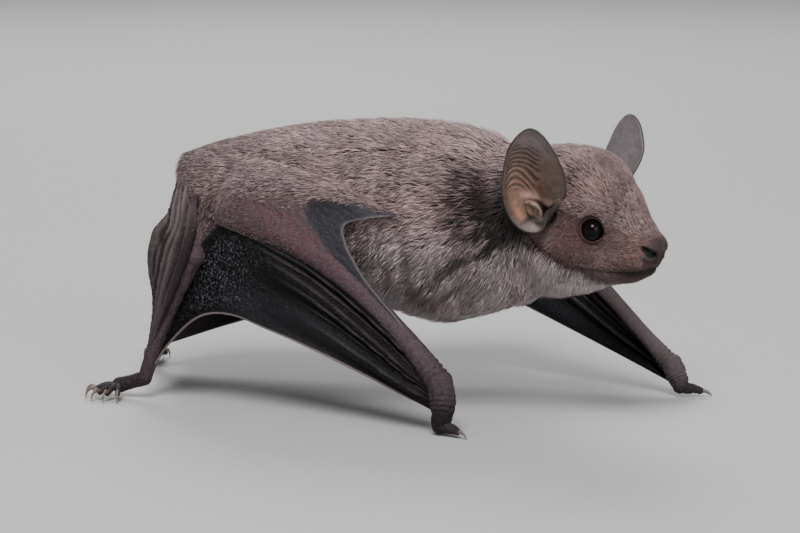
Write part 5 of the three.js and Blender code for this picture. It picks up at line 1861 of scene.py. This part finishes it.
def make_lights(sizes):
    """The soft lights, and a pale even world light."""
    for name, place, aim, size, power, colour in LIGHTS:
        data = bpy.data.lights.new(name, "AREA")
        data.shape = "DISK"
        data.size = size
        data.energy = power * sizes.light_share
        data.color = colour
        light = bpy.data.objects.new(name, data)
        bpy.context.scene.collection.objects.link(light)
        point_at(light, np.array(place), np.array(aim))
    world = bpy.data.worlds.new("Studio")
    world.use_nodes = True
    world.node_tree.nodes["Background"].inputs["Color"].default_value = (0.60, 0.61, 0.63, 1)
    world.node_tree.nodes["Background"].inputs["Strength"].default_value = 0.55
    bpy.context.scene.world = world


def point_at(thing, place, aim):
    """Puts a light or camera at a place, looking at a point, with its top upward."""
    thing.location = place
    thing.rotation_euler = Vector(aim - place).to_track_quat("-Z", "Y").to_euler()


AIM = np.array([-1.353, 3.038, 19.872])  # middle of the view, in the bat's own axes


def make_camera(sizes):
    """A camera at a distance and angles from the middle of the view."""
    data = bpy.data.cameras.new("camera")
    data.lens = sizes.lens
    data.sensor_width = 36
    data.clip_start = 0.01
    data.clip_end = 20
    camera = bpy.data.objects.new("camera", data)
    bpy.context.scene.collection.objects.link(camera)
    a, e = sizes.turn, sizes.height_angle
    back = np.array([math.sin(a) * math.cos(e), -math.cos(a) * math.cos(e), math.sin(e)])
    aim = (AIM + SHIFT) / 1000
    point_at(camera, aim + back * sizes.reach, aim)
    bpy.context.scene.camera = camera


class BAT_PT_panel(bpy.types.Panel):
    """Sidebar panel that lists the bat's settings and pieces"""
    bl_idname = "BAT_PT_panel"
    bl_label = "Standing bat"
    bl_space_type = "VIEW_3D"
    bl_region_type = "UI"
    bl_category = "Bat"

    def draw(self, context):
        layout = self.layout
        for group in (context.scene.bat_sizes, context.scene.bat_looks):
            column = layout.column(align=True)
            for name in group.__annotations__:
                column.prop(group, name)
        for step in STEPS:
            layout.operator(step.bl_idname)


STEPS = (BAT_OT_stage, BAT_OT_skin, BAT_OT_ears, BAT_OT_limbs, BAT_OT_webs, BAT_OT_eyes, BAT_OT_claws,
         BAT_OT_coat)
CLASSES = (BatLooks, BatSizes, *STEPS, BAT_PT_panel)


def register():
    for cls in CLASSES:
        bpy.utils.register_class(cls)
    bpy.types.Scene.bat_looks = PointerProperty(type=BatLooks)
    bpy.types.Scene.bat_sizes = PointerProperty(type=BatSizes)


def unregister():
    del bpy.types.Scene.bat_sizes
    del bpy.types.Scene.bat_looks
    for cls in reversed(CLASSES):
        bpy.utils.unregister_class(cls)


def main():
    """Registers the add-on and runs every step."""
    register()
    for step in STEPS:
        group, name = step.bl_idname.split(".")
        getattr(getattr(bpy.ops, group), name)()


if __name__ == "__main__":
    main()
